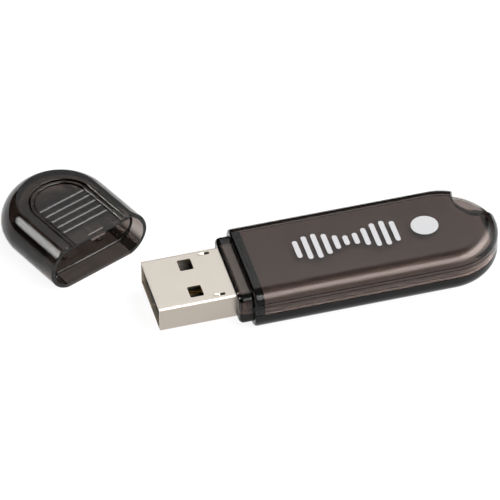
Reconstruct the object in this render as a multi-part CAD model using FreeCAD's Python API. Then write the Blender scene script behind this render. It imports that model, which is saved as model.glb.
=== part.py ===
import FreeCAD, Part

# A plug-in desk stick that keeps a pointer moving: two smoke-plastic shells round a metallised inner
# cover, a folded steel plug with its contacts, a small circuit board, and a pull-off cap.
# The cap lies beside the stick, as it does while the stick is in use.
#
# Frame, in millimetres: the origin is on the flat underside, below the middle of the body.
# +X runs from the plug towards the round tail, +Z is up, and the stick is symmetric about y = 0
# apart from the lanyard corner.

import math
import os
from collections import namedtuple

from FreeCAD import Vector

# ---------------------------------------------------------------- body shells
BODY_LENGTH = 42.0          # flat front shoulder to the end of the round tail
BODY_WIDTH = 18.0
BODY_HEIGHT = 7.7
SHOULDER_RUN = 2.4          # the rounded upper edge, across the body
SHOULDER_DROP = 1.85        # the rounded upper edge, down to the side band
SHOULDER_BULGE = 0.56       # how far its arc stands out from its chord
UNDER_RUN = 2.55            # the rounded lower edge
UNDER_DROP = 2.9
UNDER_BULGE = 0.74
FRONT_EDGE_BEVEL = 0.3      # bevel on the front shoulder's rim
PARTING_HEIGHT = 3.55       # where the two shells meet
SHELL_WALL = 1.15
FRONT_WALL = 1.75
FIT_GAP = 0.05              # clearance between mouldings that slip together

# fine lines moulded round the side band, counted down from the foot of the shoulder
BAND_LINES = 2
BAND_LINE_PITCH = 0.63
BAND_LINE_WIDTH = 0.12
BAND_LINE_DEPTH = 0.1
BAND_LINE_MARGIN = 0.5      # the lines stop short of the lanyard corner
PARTING_LINE = 0.1          # shadow line at the foot of the upper shell

# the lower shell's thick rim and the lip that rises inside the upper shell
RIM_FOOT = 2.1              # where the lower wall thickens, above the underside
RIM_THICKNESS = 1.8
LIP_RISE = 0.5
PEG_RADIUS = 0.4            # pegs in the front wall that line the shells up
PEG_HEIGHT = 0.8
PEG_INSET = 1.5             # from the side of the body

# ---------------------------------------------------------------- collar round the plug
COLLAR_LENGTH = 2.25
COLLAR_SIDE_STEP = 1.05     # in from the body's side
COLLAR_LOWER_STEP = 1.15    # up from the underside
COLLAR_UPPER_STEP = 1.0     # down from the top
COLLAR_RADIUS = 1.25
COLLAR_EDGE_BEVEL = 0.45    # bevel all round its front

# ---------------------------------------------------------------- lanyard corner
SCOOP_RADIUS = 4.55         # round bite out of the upper shell
SCOOP_ANGLE = 33.3          # its direction from the tail's centre
SCOOP_OUTSET = 0.37         # its centre, beyond the body's outline
LEDGE_DEPTH = 2.35          # below the body's top
LEDGE_WALL = 0.45           # the shell round the bite and under its ledge
LANYARD_ANGLE = 20.0        # the hole's direction from the tail's centre
LANYARD_RADIUS = 1.1
LANYARD_INSET = 2.3         # hole centre, in from the body's outline
BOSS_WALL = 0.7

# ---------------------------------------------------------------- metallised inner cover
COVER_WALL = 0.4

# ---------------------------------------------------------------- plug
PLUG_WIDTH = 12.0
PLUG_HEIGHT = 4.5
PLUG_EXPOSED = 12.45        # tip to the collar's face
PLUG_TOTAL = 18.75
PLUG_WALL = 0.3
PLUG_RADIUS = 0.45          # outer bend
PLUG_DROP = 0.1             # the plug's middle below the body's middle
WINDOW_SETBACK = 5.45       # latch windows, from the tip
WINDOW_LENGTH = 2.2
WINDOW_WIDTH = 2.5
WINDOW_OFFSET = 3.2         # window centre from the centre line
LANCE_SETBACK = 9.0         # small bent tabs behind the windows
LANCE_LENGTH = 1.9
LANCE_WIDTH = 0.55
LANCE_TAB = 1.15
LANCE_OFFSET = 4.95
LANCE_BEND = 8.0            # degrees
SEAM_GAP = 0.08             # joint in the folded steel, underneath
DOVETAIL_SETBACK = 8.6
DOVETAIL_NECK = 2.2
DOVETAIL_HEAD = 3.0
DOVETAIL_DEPTH = 1.3
LEG_LENGTH = 2.9            # side legs that are soldered into the board
LEG_HEIGHT = 2.0

TONGUE_SETBACK = 0.7        # behind the plug's mouth
TONGUE_SIDE_GAP = 0.03
TONGUE_DROP = 0.02          # its top, below the plug's middle
TONGUE_BLOCK = 6.0          # the thick block at the back of the plug
TONGUE_NOSE = 0.35          # chamfer of the tongue's tip
CONTACT_THICKNESS = 0.2
CONTACT_WIDTH = 1.0
CONTACT_SINK = 0.1          # how deep the contacts lie in the tongue
CONTACT_PITCH = 2.5         # outer to inner contact
DATA_PITCH = 2.0            # inner contact to inner contact
LONG_CONTACT_SETBACK = 1.0  # from the tongue's tip
DATA_CONTACT_SETBACK = 2.0
CONTACT_TAIL = 2.3          # length soldered to the board

# ---------------------------------------------------------------- circuit board
BOARD_TAIL_REACH = 1.45     # past the tail's centre
BOARD_SIDE_GAP = 0.3        # to the lower shell's thick rim
BOARD_THICKNESS = 1.0
BOARD_CORNER = 2.2          # chamfer of the tail corners
BOARD_GAP = 0.1             # to the back of the plug
LEG_SLOT_GAP = 0.1
POST_RADIUS = 0.9           # posts that carry the board
POST_PIN_RADIUS = 0.45
POST_PIN_RISE = 0.3         # pin above the board
POST_HOLE_GAP = 0.05
POST_INSET = 1.6            # from the board's edge
FRONT_POST_SETBACK = 6.65   # from the board's front
REAR_POST_SETBACK = 3.75    # from the board's tail
THRUST_RIB = 0.8            # rib behind the plug that takes the push
THRUST_RIB_WIDTH = 8.0

# ---------------------------------------------------------------- board parts
CONTROLLER_LENGTH = 7.2
CONTROLLER_WIDTH = 5.3
CONTROLLER_HEIGHT = 1.5
CONTROLLER_STANDOFF = 0.1
CONTROLLER_SPAN = 7.8       # over the leads
CONTROLLER_SHIFT = 2.55     # from the board's middle, towards the tail
LEADS_PER_SIDE = 10
LEAD_PITCH = 0.65
LEAD_WIDTH = 0.3
LEAD_THICKNESS = 0.15
LEAD_FOOT = 0.6
CHIP_CHAMFER = 0.2
DIMPLE_RADIUS = 0.35
DIMPLE_DEPTH = 0.08

CRYSTAL_LENGTH = 5.0
CRYSTAL_WIDTH = 3.2
CRYSTAL_BASE = 0.5
CRYSTAL_LID = 0.6
CRYSTAL_LID_INSET = 0.3
CRYSTAL_SETBACK = 4.15      # from the board's tail
LOAD_CAPACITOR_GAP = 0.8    # between the crystal and each of its capacitors

SMALL_CHIP_LENGTH = 2.9     # the three- and four-leaded packages
SMALL_CHIP_WIDTH = 1.3
SMALL_CHIP_HEIGHT = 1.0
SMALL_CHIP_SPAN = 2.4
SMALL_LEAD_WIDTH = 0.4
SMALL_LEAD_PITCH = 1.9
REGULATOR_SETBACK = 6.2     # from the controller's middle, towards the plug
REGULATOR_INSET = 2.3       # from the board's edge
SURGE_SETBACK = 6.45        # from the board's front

CHIP_LENGTH = 1.6           # resistors and small capacitors
CHIP_WIDTH = 0.8
RESISTOR_HEIGHT = 0.45
CAPACITOR_HEIGHT = 0.8
FUSE_LENGTH = 3.2
FUSE_WIDTH = 1.6
FUSE_HEIGHT = 0.6
CHIP_END = 0.3              # metal end of a small part
CHIP_END_STEP = 0.03        # how far it stands proud

# ---------------------------------------------------------------- cap
CAP_LENGTH = 19.9
CAP_EXTRA_WIDTH = 0.9       # beyond the body's width
CAP_EXTRA_HEIGHT = 0.55
CAP_SIDE_HEIGHT = 0.65      # upright strip of the side, between its two rounded edges
CAP_SHOULDER_SHARE = 0.5263 # share of the rest of the height that the upper rounded edge takes
CAP_SHOULDER_RUN = 2.55
CAP_SHOULDER_BULGE = 0.545
CAP_UNDER_RUN = 3.2
CAP_UNDER_BULGE = 0.74
CAP_RIM_BEVEL = 0.12        # bevel on the mouth's outer edge
CAP_MOUTH_WALL = 0.7        # wall of the wide mouth, over the collar
CAP_MOUTH_DEPTH = 2.8
CAP_WALL = 1.15             # wall of the deeper hollow
CAP_END_WALL = 1.5
CAP_SEAT_GAP = 0.1          # cap rim to the body's shoulder when pushed home
PAD_WIDTH = 10.7            # recessed grip pad, open at the mouth
PAD_LENGTH = 14.8
PAD_DEPTH = 0.3
GRIP_RIBS = 5
GRIP_RIB_FIRST = 3.6        # from the mouth
GRIP_RIB_PITCH = 1.55
GRIP_RIB_LENGTH = 8.6
GRIP_RIB_WIDTH = 0.6
GRIP_RIB_RISE = 0.25
NUB_WIDTH = 2.9             # nub under the mouth's ceiling that bears on the collar
NUB_LENGTH = 1.0
NUB_GAP = 0.05
GUIDE_SETBACK = 4.4         # inner ribs that hold the plug, from the mouth
GUIDE_LENGTH = 9.5
GUIDE_WIDTH = 0.8
GUIDE_OFFSET = 3.4
GUIDE_GAP = 0.05
PLUG_CLEARANCE = 0.15       # between the plug's tip and the cap's end wall at its corners

# where the cap lies: its mouth's centre and the way its mouth points
CAP_PLACE_X = -40.92
CAP_PLACE_Y = 12.1
CAP_TURN = -66.6            # degrees, from the pushed-on direction

# ---------------------------------------------------------------- places worked out from the sizes
FRONT = -BODY_LENGTH / 2
TAIL_CENTRE = BODY_LENGTH / 2 - BODY_WIDTH / 2
HOLLOW_FRONT = FRONT + FRONT_WALL
COLLAR_FRONT = FRONT - COLLAR_LENGTH
PLUG_TIP = COLLAR_FRONT - PLUG_EXPOSED
PLUG_BACK = PLUG_TIP + PLUG_TOTAL
PLUG_MID_HEIGHT = BODY_HEIGHT / 2 - PLUG_DROP
PLUG_BOTTOM = PLUG_MID_HEIGHT - PLUG_HEIGHT / 2
PLUG_TOP = PLUG_MID_HEIGHT + PLUG_HEIGHT / 2
COLLAR_TOP = BODY_HEIGHT - COLLAR_UPPER_STEP
LIP_TOP = PARTING_HEIGHT + LIP_RISE
LEDGE_HEIGHT = BODY_HEIGHT - LEDGE_DEPTH
LANYARD_REACH = BODY_WIDTH / 2 - LANYARD_INSET
LANYARD_BOSS_RADIUS = LANYARD_RADIUS + BOSS_WALL
TONGUE_TOP = PLUG_MID_HEIGHT - TONGUE_DROP
CONTACT_FOOT = TONGUE_TOP - CONTACT_SINK
BOARD_TOP = CONTACT_FOOT
BOARD_BOTTOM = BOARD_TOP - BOARD_THICKNESS
BOARD_FRONT = PLUG_BACK + BOARD_GAP
BOARD_BACK = TAIL_CENTRE + BOARD_TAIL_REACH
BOARD_HALF = BODY_WIDTH / 2 - RIM_THICKNESS - BOARD_SIDE_GAP
CONTROLLER_X = (BOARD_FRONT + BOARD_BACK) / 2 + CONTROLLER_SHIFT
REGULATOR_X = CONTROLLER_X - REGULATOR_SETBACK
REGULATOR_Y = REGULATOR_INSET - BOARD_HALF
SURGE_X = BOARD_FRONT + SURGE_SETBACK
CRYSTAL_X = BOARD_BACK - CRYSTAL_SETBACK
CAP_HEIGHT = BODY_HEIGHT + CAP_EXTRA_HEIGHT
CAP_WIDTH = BODY_WIDTH + CAP_EXTRA_WIDTH
CAP_ROUNDED_HEIGHT = CAP_HEIGHT - CAP_SIDE_HEIGHT
CAP_SHOULDER_DROP = CAP_ROUNDED_HEIGHT * CAP_SHOULDER_SHARE
CAP_UNDER_DROP = CAP_ROUNDED_HEIGHT - CAP_SHOULDER_DROP
REACH = 100.0               # longer than anything here, for cutting tools

Corner = namedtuple("Corner", "run drop bulge")
Section = namedtuple("Section", "half_width bottom top upper lower")

BODY = Section(BODY_WIDTH / 2, 0.0, BODY_HEIGHT,
               Corner(SHOULDER_RUN, SHOULDER_DROP, SHOULDER_BULGE),
               Corner(UNDER_RUN, UNDER_DROP, UNDER_BULGE))
CAP_BOTTOM = (BODY_HEIGHT - CAP_HEIGHT) / 2
CAP = Section(CAP_WIDTH / 2, CAP_BOTTOM, CAP_BOTTOM + CAP_HEIGHT,
              Corner(CAP_SHOULDER_RUN, CAP_SHOULDER_DROP, CAP_SHOULDER_BULGE),
              Corner(CAP_UNDER_RUN, CAP_UNDER_DROP, CAP_UNDER_BULGE))


# ---------------------------------------------------------------- simple solids
def box(x0, x1, y0, y1, z0, z1):
    return Part.makeBox(x1 - x0, y1 - y0, z1 - z0, Vector(x0, y0, z0))


def slab(z0, z1):
    """Everything between two heights."""
    return box(-REACH, REACH, -REACH, REACH, z0, z1)


def upright(x, y, radius, z0, z1):
    return Part.makeCylinder(radius, z1 - z0, Vector(x, y, z0))


def prism(points, z0, z1):
    """Upright prism on a plan outline of (x, y) points."""
    corners = [Vector(x, y, z0) for x, y in points]
    return Part.Face(Part.makePolygon(corners + corners[:1])).extrude(Vector(0, 0, z1 - z0))


def rounded_bar(x0, x1, half_width, z0, z1, radius):
    """Bar along X with its four long edges rounded."""
    bar = box(x0, x1, -half_width, half_width, z0, z1)
    long_edges = [edge for edge in bar.Edges if abs(edge.tangentAt(edge.FirstParameter).x) > 0.5]
    return bar.makeFillet(radius, long_edges)


def both_sides(solid):
    """The solid and its mirror image across the centre plane."""
    return [solid, solid.mirror(Vector(0, 0, 0), Vector(0, 1, 0))]


# ---------------------------------------------------------------- the long, round-ended form
def corner_circle(corner):
    """Centre and radius of a corner's arc, from the sharp corner: inwards and downwards."""
    chord = math.hypot(corner.run, corner.drop)
    radius = (chord ** 2 / 4 + corner.bulge ** 2) / (2 * corner.bulge)
    reach = radius - corner.bulge
    inwards = corner.run / 2 + reach * corner.drop / chord
    downwards = corner.drop / 2 + reach * corner.run / chord
    return inwards, downwards, radius


def arc(centre, radius, start, end):
    """The short arc from start to end, all (y, z) points, in the plane x = 0."""
    angles = [math.atan2(point[1] - centre[1], point[0] - centre[0]) for point in (start, end)]
    middle = sum(angles) / 2
    crown = (centre[0] + radius * math.cos(middle), centre[1] + radius * math.sin(middle))
    return Part.Arc(*[Vector(0, y, z) for y, z in (start, crown, end)]).toShape()


def corner_edge(section, corner, level, up, inset, straight):
    """Ends and edge of one corner of a section moved in by inset. up is 1 at the top, -1 at the bottom."""
    inwards, downwards, radius = corner_circle(corner)
    centre = (section.half_width - inwards, level - up * downwards)
    radius -= inset
    flat = level - up * inset
    side = section.half_width - inset
    on_flat = (centre[0] + math.sqrt(radius ** 2 - (flat - centre[1]) ** 2), flat)
    on_side = (side, centre[1] + up * math.sqrt(max(radius ** 2 - (side - centre[0]) ** 2, 0.0)))
    if straight:
        return on_flat, on_side, Part.makeLine(Vector(0, *on_flat), Vector(0, *on_side))
    return on_flat, on_side, arc(centre, radius, on_flat, on_side)


def half_section(section, inset, straight):
    """Face of a section's +Y half in the plane x = 0, moved in by inset."""
    top_flat, top_side, top_edge = corner_edge(section, section.upper, section.top, 1, inset, straight)
    low_flat, low_side, low_edge = corner_edge(section, section.lower, section.bottom, -1, inset, straight)
    edges = [Part.makeLine(Vector(0, 0, top_flat[1]), Vector(0, *top_flat)), top_edge,
             Part.makeLine(Vector(0, *top_side), Vector(0, *low_side)), low_edge,
             Part.makeLine(Vector(0, *low_flat), Vector(0, 0, low_flat[1])),
             Part.makeLine(Vector(0, 0, low_flat[1]), Vector(0, 0, top_flat[1]))]
    return Part.Face(Part.Wire(Part.__sortEdges__(edges)))


def round_ended(section, flat_end, round_centre, inset=0.0, straight=False, bevel=0.0):
    """Solid with the section's outline, a flat end, and a round end about round_centre.

    The flat end's rim may be bevelled. A hollow that nothing sees or touches has straight corners.
    """
    inwards = math.copysign(1, round_centre - flat_end)
    half = half_section(section, inset, straight)
    half.translate(Vector(round_centre, 0, 0))
    end = half.revolve(Vector(round_centre, 0, 0), Vector(0, 0, 1), -180 * inwards)
    pieces = both_sides(half.extrude(Vector(flat_end + inwards * bevel - round_centre, 0, 0)))
    if bevel:
        rims = []
        for step in (0, bevel):
            rim = half_section(section, inset + bevel - step, straight).OuterWire
            rim.translate(Vector(flat_end + inwards * step, 0, 0))
            rims.append(rim)
        pieces += both_sides(Part.makeLoft(rims, True, True))
    return end.fuse(pieces).removeSplitter()


# ---------------------------------------------------------------- shells
def body_form(inset=0.0, front=FRONT, bevel=0.0):
    return round_ended(BODY, front, TAIL_CENTRE, inset, bevel=bevel)


def body_hollow(inset, front=HOLLOW_FRONT):
    return round_ended(BODY, front, TAIL_CENTRE, inset, straight=True)


def polar(reach, degrees):
    """Point at this reach and direction from the tail's centre."""
    angle = math.radians(degrees)
    return TAIL_CENTRE + reach * math.cos(angle), reach * math.sin(angle)


def scoop(grow, floor):
    """The round bite of the lanyard corner, grown by a wall, from its floor upwards."""
    x, y = polar(BODY_WIDTH / 2 + SCOOP_OUTSET, SCOOP_ANGLE)
    return upright(x, y, SCOOP_RADIUS + grow, floor, REACH)


def lanyard_bar(radius, z0, z1):
    x, y = polar(LANYARD_REACH, LANYARD_ANGLE)
    return upright(x, y, radius, z0, z1)


def core(inset, front, ledge_wall):
    """What is left inside the body within these walls, of the sides and round the bite."""
    return body_hollow(inset, front).cut(scoop(ledge_wall, LEDGE_HEIGHT - ledge_wall))


def side_line(z0, z1):
    """A fine line round the sides and tail, to be cut away."""
    band = body_form().common(slab(z0, z1))
    return band.cut(body_form(BAND_LINE_DEPTH, FRONT - COLLAR_LENGTH))


def collar_form():
    bar = rounded_bar(COLLAR_FRONT, HOLLOW_FRONT, BODY_WIDTH / 2 - COLLAR_SIDE_STEP, COLLAR_LOWER_STEP,
                      COLLAR_TOP, COLLAR_RADIUS)
    rim = [edge for edge in bar.Edges if edge.BoundBox.XMax < COLLAR_FRONT + COLLAR_EDGE_BEVEL]
    return bar.makeChamfer(COLLAR_EDGE_BEVEL, rim)


def plug_form(grow, x0, x1):
    return rounded_bar(x0, x1, PLUG_WIDTH / 2 + grow, PLUG_BOTTOM - grow, PLUG_TOP + grow,
                       PLUG_RADIUS + grow)


def outer_form():
    """Body and collar together, with the plug's opening, before they are split into shells."""
    opening = plug_form(FIT_GAP, COLLAR_FRONT - COLLAR_LENGTH, HOLLOW_FRONT + FRONT_WALL)
    return body_form(bevel=FRONT_EDGE_BEVEL).fuse(collar_form()).cut(opening)


def peg_places():
    return [(FRONT + FRONT_WALL / 2, side * (BODY_WIDTH / 2 - PEG_INSET)) for side in (1, -1)]


def make_top_shell():
    shell = outer_form().common(slab(PARTING_HEIGHT, REACH))
    shell = shell.cut(core(SHELL_WALL, HOLLOW_FRONT, LEDGE_WALL))
    shell = shell.cut(scoop(0.0, LEDGE_HEIGHT))
    shell = shell.fuse(lanyard_bar(LANYARD_BOSS_RADIUS, PARTING_HEIGHT, LEDGE_HEIGHT - LEDGE_WALL / 2))
    shell = shell.cut(lanyard_bar(LANYARD_RADIUS, -REACH, REACH))
    lines = [side_line(PARTING_HEIGHT, PARTING_HEIGHT + PARTING_LINE)]
    for row in range(BAND_LINES):
        top = BODY_HEIGHT - SHOULDER_DROP - row * BAND_LINE_PITCH
        lines.append(side_line(top - BAND_LINE_WIDTH, top).cut(scoop(BAND_LINE_MARGIN, 0)))
    sockets = [upright(x, y, PEG_RADIUS + FIT_GAP, PARTING_HEIGHT, PARTING_HEIGHT + PEG_HEIGHT + FIT_GAP)
               for x, y in peg_places()]
    return shell.cut(lines + sockets).removeSplitter()


def make_lip():
    """Lip inside the upper shell's wall, open at the front and cut away at the lanyard boss."""
    outer = body_form(SHELL_WALL + FIT_GAP, HOLLOW_FRONT + FIT_GAP)
    inner = body_form(RIM_THICKNESS, FRONT)
    lip = outer.cut(inner).common(slab(PARTING_HEIGHT - LIP_RISE / 2, LIP_TOP))
    return lip.cut(lanyard_bar(LANYARD_BOSS_RADIUS + FIT_GAP, PARTING_HEIGHT, LIP_TOP))


def post_places():
    rows = (BOARD_FRONT + FRONT_POST_SETBACK, BOARD_BACK - REAR_POST_SETBACK)
    return [(x, side * (BOARD_HALF - POST_INSET)) for x in rows for side in (1, -1)]


def make_bottom_shell():
    shell = outer_form().common(slab(-REACH, PARTING_HEIGHT))
    shell = shell.cut(body_hollow(SHELL_WALL).common(slab(0, RIM_FOOT)))
    shell = shell.cut(body_hollow(RIM_THICKNESS).common(slab(RIM_FOOT, REACH)))
    boss = lanyard_bar(LANYARD_BOSS_RADIUS, SHELL_WALL / 2, PARTING_HEIGHT).common(body_form())
    additions = [make_lip(), boss]
    additions += [upright(x, y, PEG_RADIUS, PARTING_HEIGHT / 2, PARTING_HEIGHT + PEG_HEIGHT)
                  for x, y in peg_places()]
    for x, y in post_places():
        additions.append(upright(x, y, POST_RADIUS, SHELL_WALL / 2, BOARD_BOTTOM))
        additions.append(upright(x, y, POST_PIN_RADIUS, BOARD_BOTTOM, BOARD_TOP + POST_PIN_RISE))
    rib_front = PLUG_BACK + FIT_GAP
    additions.append(box(rib_front, rib_front + THRUST_RIB, -THRUST_RIB_WIDTH / 2, THRUST_RIB_WIDTH / 2,
                         SHELL_WALL / 2, BOARD_BOTTOM))
    shell = shell.fuse(additions)
    return shell.cut(lanyard_bar(LANYARD_RADIUS, -REACH, REACH)).removeSplitter()


def make_inner_cover():
    outer_inset = SHELL_WALL + FIT_GAP
    outer = core(outer_inset, HOLLOW_FRONT + FIT_GAP, LEDGE_WALL + FIT_GAP)
    inner = core(outer_inset + COVER_WALL, FRONT, LEDGE_WALL + FIT_GAP + COVER_WALL)
    cover = outer.cut(inner).common(slab(LIP_TOP, REACH))
    plug_room = plug_form(FIT_GAP, PLUG_TIP, PLUG_BACK + FIT_GAP)
    return cover.cut([lanyard_bar(LANYARD_BOSS_RADIUS + FIT_GAP, 0, REACH), plug_room]).removeSplitter()


# ---------------------------------------------------------------- plug
def window_cuts():
    x0 = PLUG_TIP + WINDOW_SETBACK
    return both_sides(box(x0, x0 + WINDOW_LENGTH, WINDOW_OFFSET - WINDOW_WIDTH / 2,
                          WINDOW_OFFSET + WINDOW_WIDTH / 2, 0, BODY_HEIGHT))


def lance():
    """Opening of one small bent tab, and the tab."""
    x0 = PLUG_TIP + LANCE_SETBACK
    low, high = LANCE_OFFSET - LANCE_WIDTH / 2, LANCE_OFFSET + LANCE_WIDTH / 2
    opening = box(x0, x0 + LANCE_LENGTH, low, high, PLUG_MID_HEIGHT, REACH)
    side_gap = SEAM_GAP / 2
    tab = box(x0 - PLUG_WALL, x0 + LANCE_TAB, low + side_gap, high - side_gap, PLUG_TOP - PLUG_WALL, PLUG_TOP)
    tab.rotate(Vector(x0, 0, PLUG_TOP), Vector(0, 1, 0), LANCE_BEND)
    return opening, tab.common(slab(PLUG_MID_HEIGHT, PLUG_TOP))


def seam_cut():
    """Joint of the folded steel, with one dovetail."""
    start = PLUG_TIP + DOVETAIL_SETBACK
    flare = (DOVETAIL_HEAD - DOVETAIL_NECK) / 2
    z0, z1 = PLUG_BOTTOM - PLUG_WALL, PLUG_BOTTOM + 2 * PLUG_WALL

    def dovetail(grow):
        return prism([(start - grow, -SEAM_GAP), (start - flare - grow, DOVETAIL_DEPTH + grow),
                      (start + DOVETAIL_NECK + flare + grow, DOVETAIL_DEPTH + grow),
                      (start + DOVETAIL_NECK + grow, -SEAM_GAP)], z0, z1)

    slit = box(PLUG_TIP - PLUG_WALL, PLUG_BACK + PLUG_WALL, -SEAM_GAP / 2, SEAM_GAP / 2, z0, z1)
    return slit.cut(dovetail(0)).fuse(dovetail(SEAM_GAP).cut(dovetail(0)).common(
        box(PLUG_TIP, PLUG_BACK, -SEAM_GAP / 2, REACH, z0, z1)))


def make_plug_shell():
    shell = plug_form(0.0, PLUG_TIP, PLUG_BACK)
    bore = rounded_bar(PLUG_TIP - PLUG_WALL, PLUG_BACK + PLUG_WALL, PLUG_WIDTH / 2 - PLUG_WALL,
                       PLUG_BOTTOM + PLUG_WALL, PLUG_TOP - PLUG_WALL, PLUG_RADIUS - PLUG_WALL)
    openings = [lance()[0], *both_sides(lance()[0])[1:]]
    shell = shell.cut([bore, seam_cut()] + window_cuts() + openings)
    leg = box(PLUG_BACK - PLUG_WALL, PLUG_BACK + LEG_LENGTH, PLUG_WIDTH / 2 - PLUG_WALL, PLUG_WIDTH / 2,
              PLUG_MID_HEIGHT - LEG_HEIGHT / 2, PLUG_MID_HEIGHT + LEG_HEIGHT / 2)
    return shell.fuse(both_sides(leg) + both_sides(lance()[1])).removeSplitter()


def contact_bars(grow, setbacks, x1):
    """The four contacts, from one outer contact to the other, or the grooves that they lie in."""
    outer = DATA_PITCH / 2 + CONTACT_PITCH
    places = (-outer, -DATA_PITCH / 2, DATA_PITCH / 2, outer)
    bars = []
    for y, setback in zip(places, setbacks):
        x0 = PLUG_TIP + TONGUE_SETBACK + setback - grow
        half = CONTACT_WIDTH / 2 + grow
        bars.append(box(x0, x1, y - half, y + half, CONTACT_FOOT, CONTACT_FOOT + CONTACT_THICKNESS + grow))
    return bars


CONTACT_SETBACKS = (LONG_CONTACT_SETBACK, DATA_CONTACT_SETBACK, DATA_CONTACT_SETBACK, LONG_CONTACT_SETBACK)


def make_tongue():
    half = PLUG_WIDTH / 2 - PLUG_WALL - TONGUE_SIDE_GAP
    floor = PLUG_BOTTOM + PLUG_WALL + TONGUE_SIDE_GAP
    ceiling = PLUG_TOP - PLUG_WALL - TONGUE_SIDE_GAP
    tip = PLUG_TIP + TONGUE_SETBACK
    blade = box(tip, PLUG_BACK, -half, half, floor, TONGUE_TOP)
    nose = [edge for edge in blade.Edges if all(abs(v.X - tip) < TONGUE_NOSE / 10 for v in edge.Vertexes)
            and abs(edge.tangentAt(edge.FirstParameter).y) > 0.5]
    blade = blade.makeChamfer(TONGUE_NOSE, nose)
    block = box(PLUG_BACK - TONGUE_BLOCK, PLUG_BACK, -half, half, floor, ceiling)
    grooves = contact_bars(TONGUE_SIDE_GAP, CONTACT_SETBACKS, PLUG_BACK + CONTACT_TAIL)
    return blade.fuse(block).cut(grooves).removeSplitter()


def make_contacts():
    names = ("contact_power", "contact_data_minus", "contact_data_plus", "contact_ground")
    return dict(zip(names, contact_bars(0.0, CONTACT_SETBACKS, BOARD_FRONT + CONTACT_TAIL)))


# ---------------------------------------------------------------- circuit board and its parts
def make_board():
    back, half = BOARD_BACK, BOARD_HALF
    outline = [(BOARD_FRONT, -half), (back - BOARD_CORNER, -half), (back, BOARD_CORNER - half),
               (back, half - BOARD_CORNER), (back - BOARD_CORNER, half), (BOARD_FRONT, half)]
    board = prism(outline, BOARD_BOTTOM, BOARD_TOP)
    leg_inner = PLUG_WIDTH / 2 - PLUG_WALL - LEG_SLOT_GAP
    leg_outer = PLUG_WIDTH / 2 + LEG_SLOT_GAP
    slot_end = PLUG_BACK + LEG_LENGTH + LEG_SLOT_GAP
    slots = both_sides(box(BOARD_FRONT - BOARD_GAP, slot_end, leg_inner, leg_outer, 0, BODY_HEIGHT))
    holes = [upright(x, y, POST_PIN_RADIUS + POST_HOLE_GAP, 0, BODY_HEIGHT) for x, y in post_places()]
    return board.cut(slots + holes)


def moulded_chip(x, y, length, width, height):
    """Chip body standing just off the board, with a bevelled top and a round dimple."""
    z0 = BOARD_TOP + CONTROLLER_STANDOFF
    body = box(x - length / 2, x + length / 2, y - width / 2, y + width / 2, z0, BOARD_TOP + height)
    top = [edge for edge in body.Edges if all(v.Z > BOARD_TOP + height / 2 for v in edge.Vertexes)]
    body = body.makeChamfer(CHIP_CHAMFER, top)
    inset = CHIP_CHAMFER + 2 * DIMPLE_RADIUS
    if width < 3 * inset:
        return body
    return body.cut(upright(x - length / 2 + inset, y - width / 2 + inset, DIMPLE_RADIUS,
                            BOARD_TOP + height - DIMPLE_DEPTH, BODY_HEIGHT))


def gull_lead(x, y, side, body_width, span, height, width):
    """Bent lead from a chip's side, at mid-height, down to its foot on the board."""
    thick = LEAD_THICKNESS
    near, far = body_width / 2, span / 2
    knee = far - LEAD_FOOT
    level = BOARD_TOP + height / 2
    outline = [(near, level), (knee + thick, level), (knee + thick, BOARD_TOP + thick),
               (far, BOARD_TOP + thick), (far, BOARD_TOP), (knee, BOARD_TOP), (knee, level - thick),
               (near, level - thick)]
    corners = [Vector(x - width / 2, y + side * across, up) for across, up in outline]
    return Part.Face(Part.makePolygon(corners + corners[:1])).extrude(Vector(width, 0, 0))


def make_controller_pins():
    first = CONTROLLER_X - (LEADS_PER_SIDE - 1) * LEAD_PITCH / 2
    return [gull_lead(first + index * LEAD_PITCH, 0.0, side, CONTROLLER_WIDTH, CONTROLLER_SPAN,
                      CONTROLLER_HEIGHT, LEAD_WIDTH)
            for index in range(LEADS_PER_SIDE) for side in (1, -1)]


def small_chip(x, y, far_leads, near_leads):
    """Small moulded part with leads at these places along each side, in one piece each."""
    body = moulded_chip(x, y, SMALL_CHIP_LENGTH, SMALL_CHIP_WIDTH, SMALL_CHIP_HEIGHT)
    leads = [gull_lead(x + place * SMALL_LEAD_PITCH / 2, y, side, SMALL_CHIP_WIDTH, SMALL_CHIP_SPAN,
                       SMALL_CHIP_HEIGHT, SMALL_LEAD_WIDTH)
             for side, places in ((1, far_leads), (-1, near_leads)) for place in places]
    return [body] + leads


def end_capped(x, y, length, width, height):
    """Two-ended board part whose metal ends stand slightly proud."""
    step = CHIP_END_STEP
    middle = box(-length / 2, length / 2, -width / 2 + step, width / 2 - step, 0, height - step)
    ends = [box(x0, x0 + CHIP_END, -width / 2, width / 2, 0, height)
            for x0 in (-length / 2, length / 2 - CHIP_END)]
    part = middle.fuse(ends).removeSplitter()
    part.translate(Vector(x, y, BOARD_TOP))
    return part


def make_crystal():
    x0, x1 = CRYSTAL_X - CRYSTAL_LENGTH / 2, CRYSTAL_X + CRYSTAL_LENGTH / 2
    half = CRYSTAL_WIDTH / 2
    lid_foot = BOARD_TOP + CRYSTAL_BASE
    base = box(x0, x1, -half, half, BOARD_TOP, lid_foot)
    inset = CRYSTAL_LID_INSET
    lid = box(x0 + inset, x1 - inset, inset - half, half - inset, lid_foot, lid_foot + CRYSTAL_LID)
    upright_edges = [edge for edge in lid.Edges if abs(edge.tangentAt(edge.FirstParameter).z) > 0.5]
    return base.fuse(lid.makeFillet(inset, upright_edges))


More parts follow.
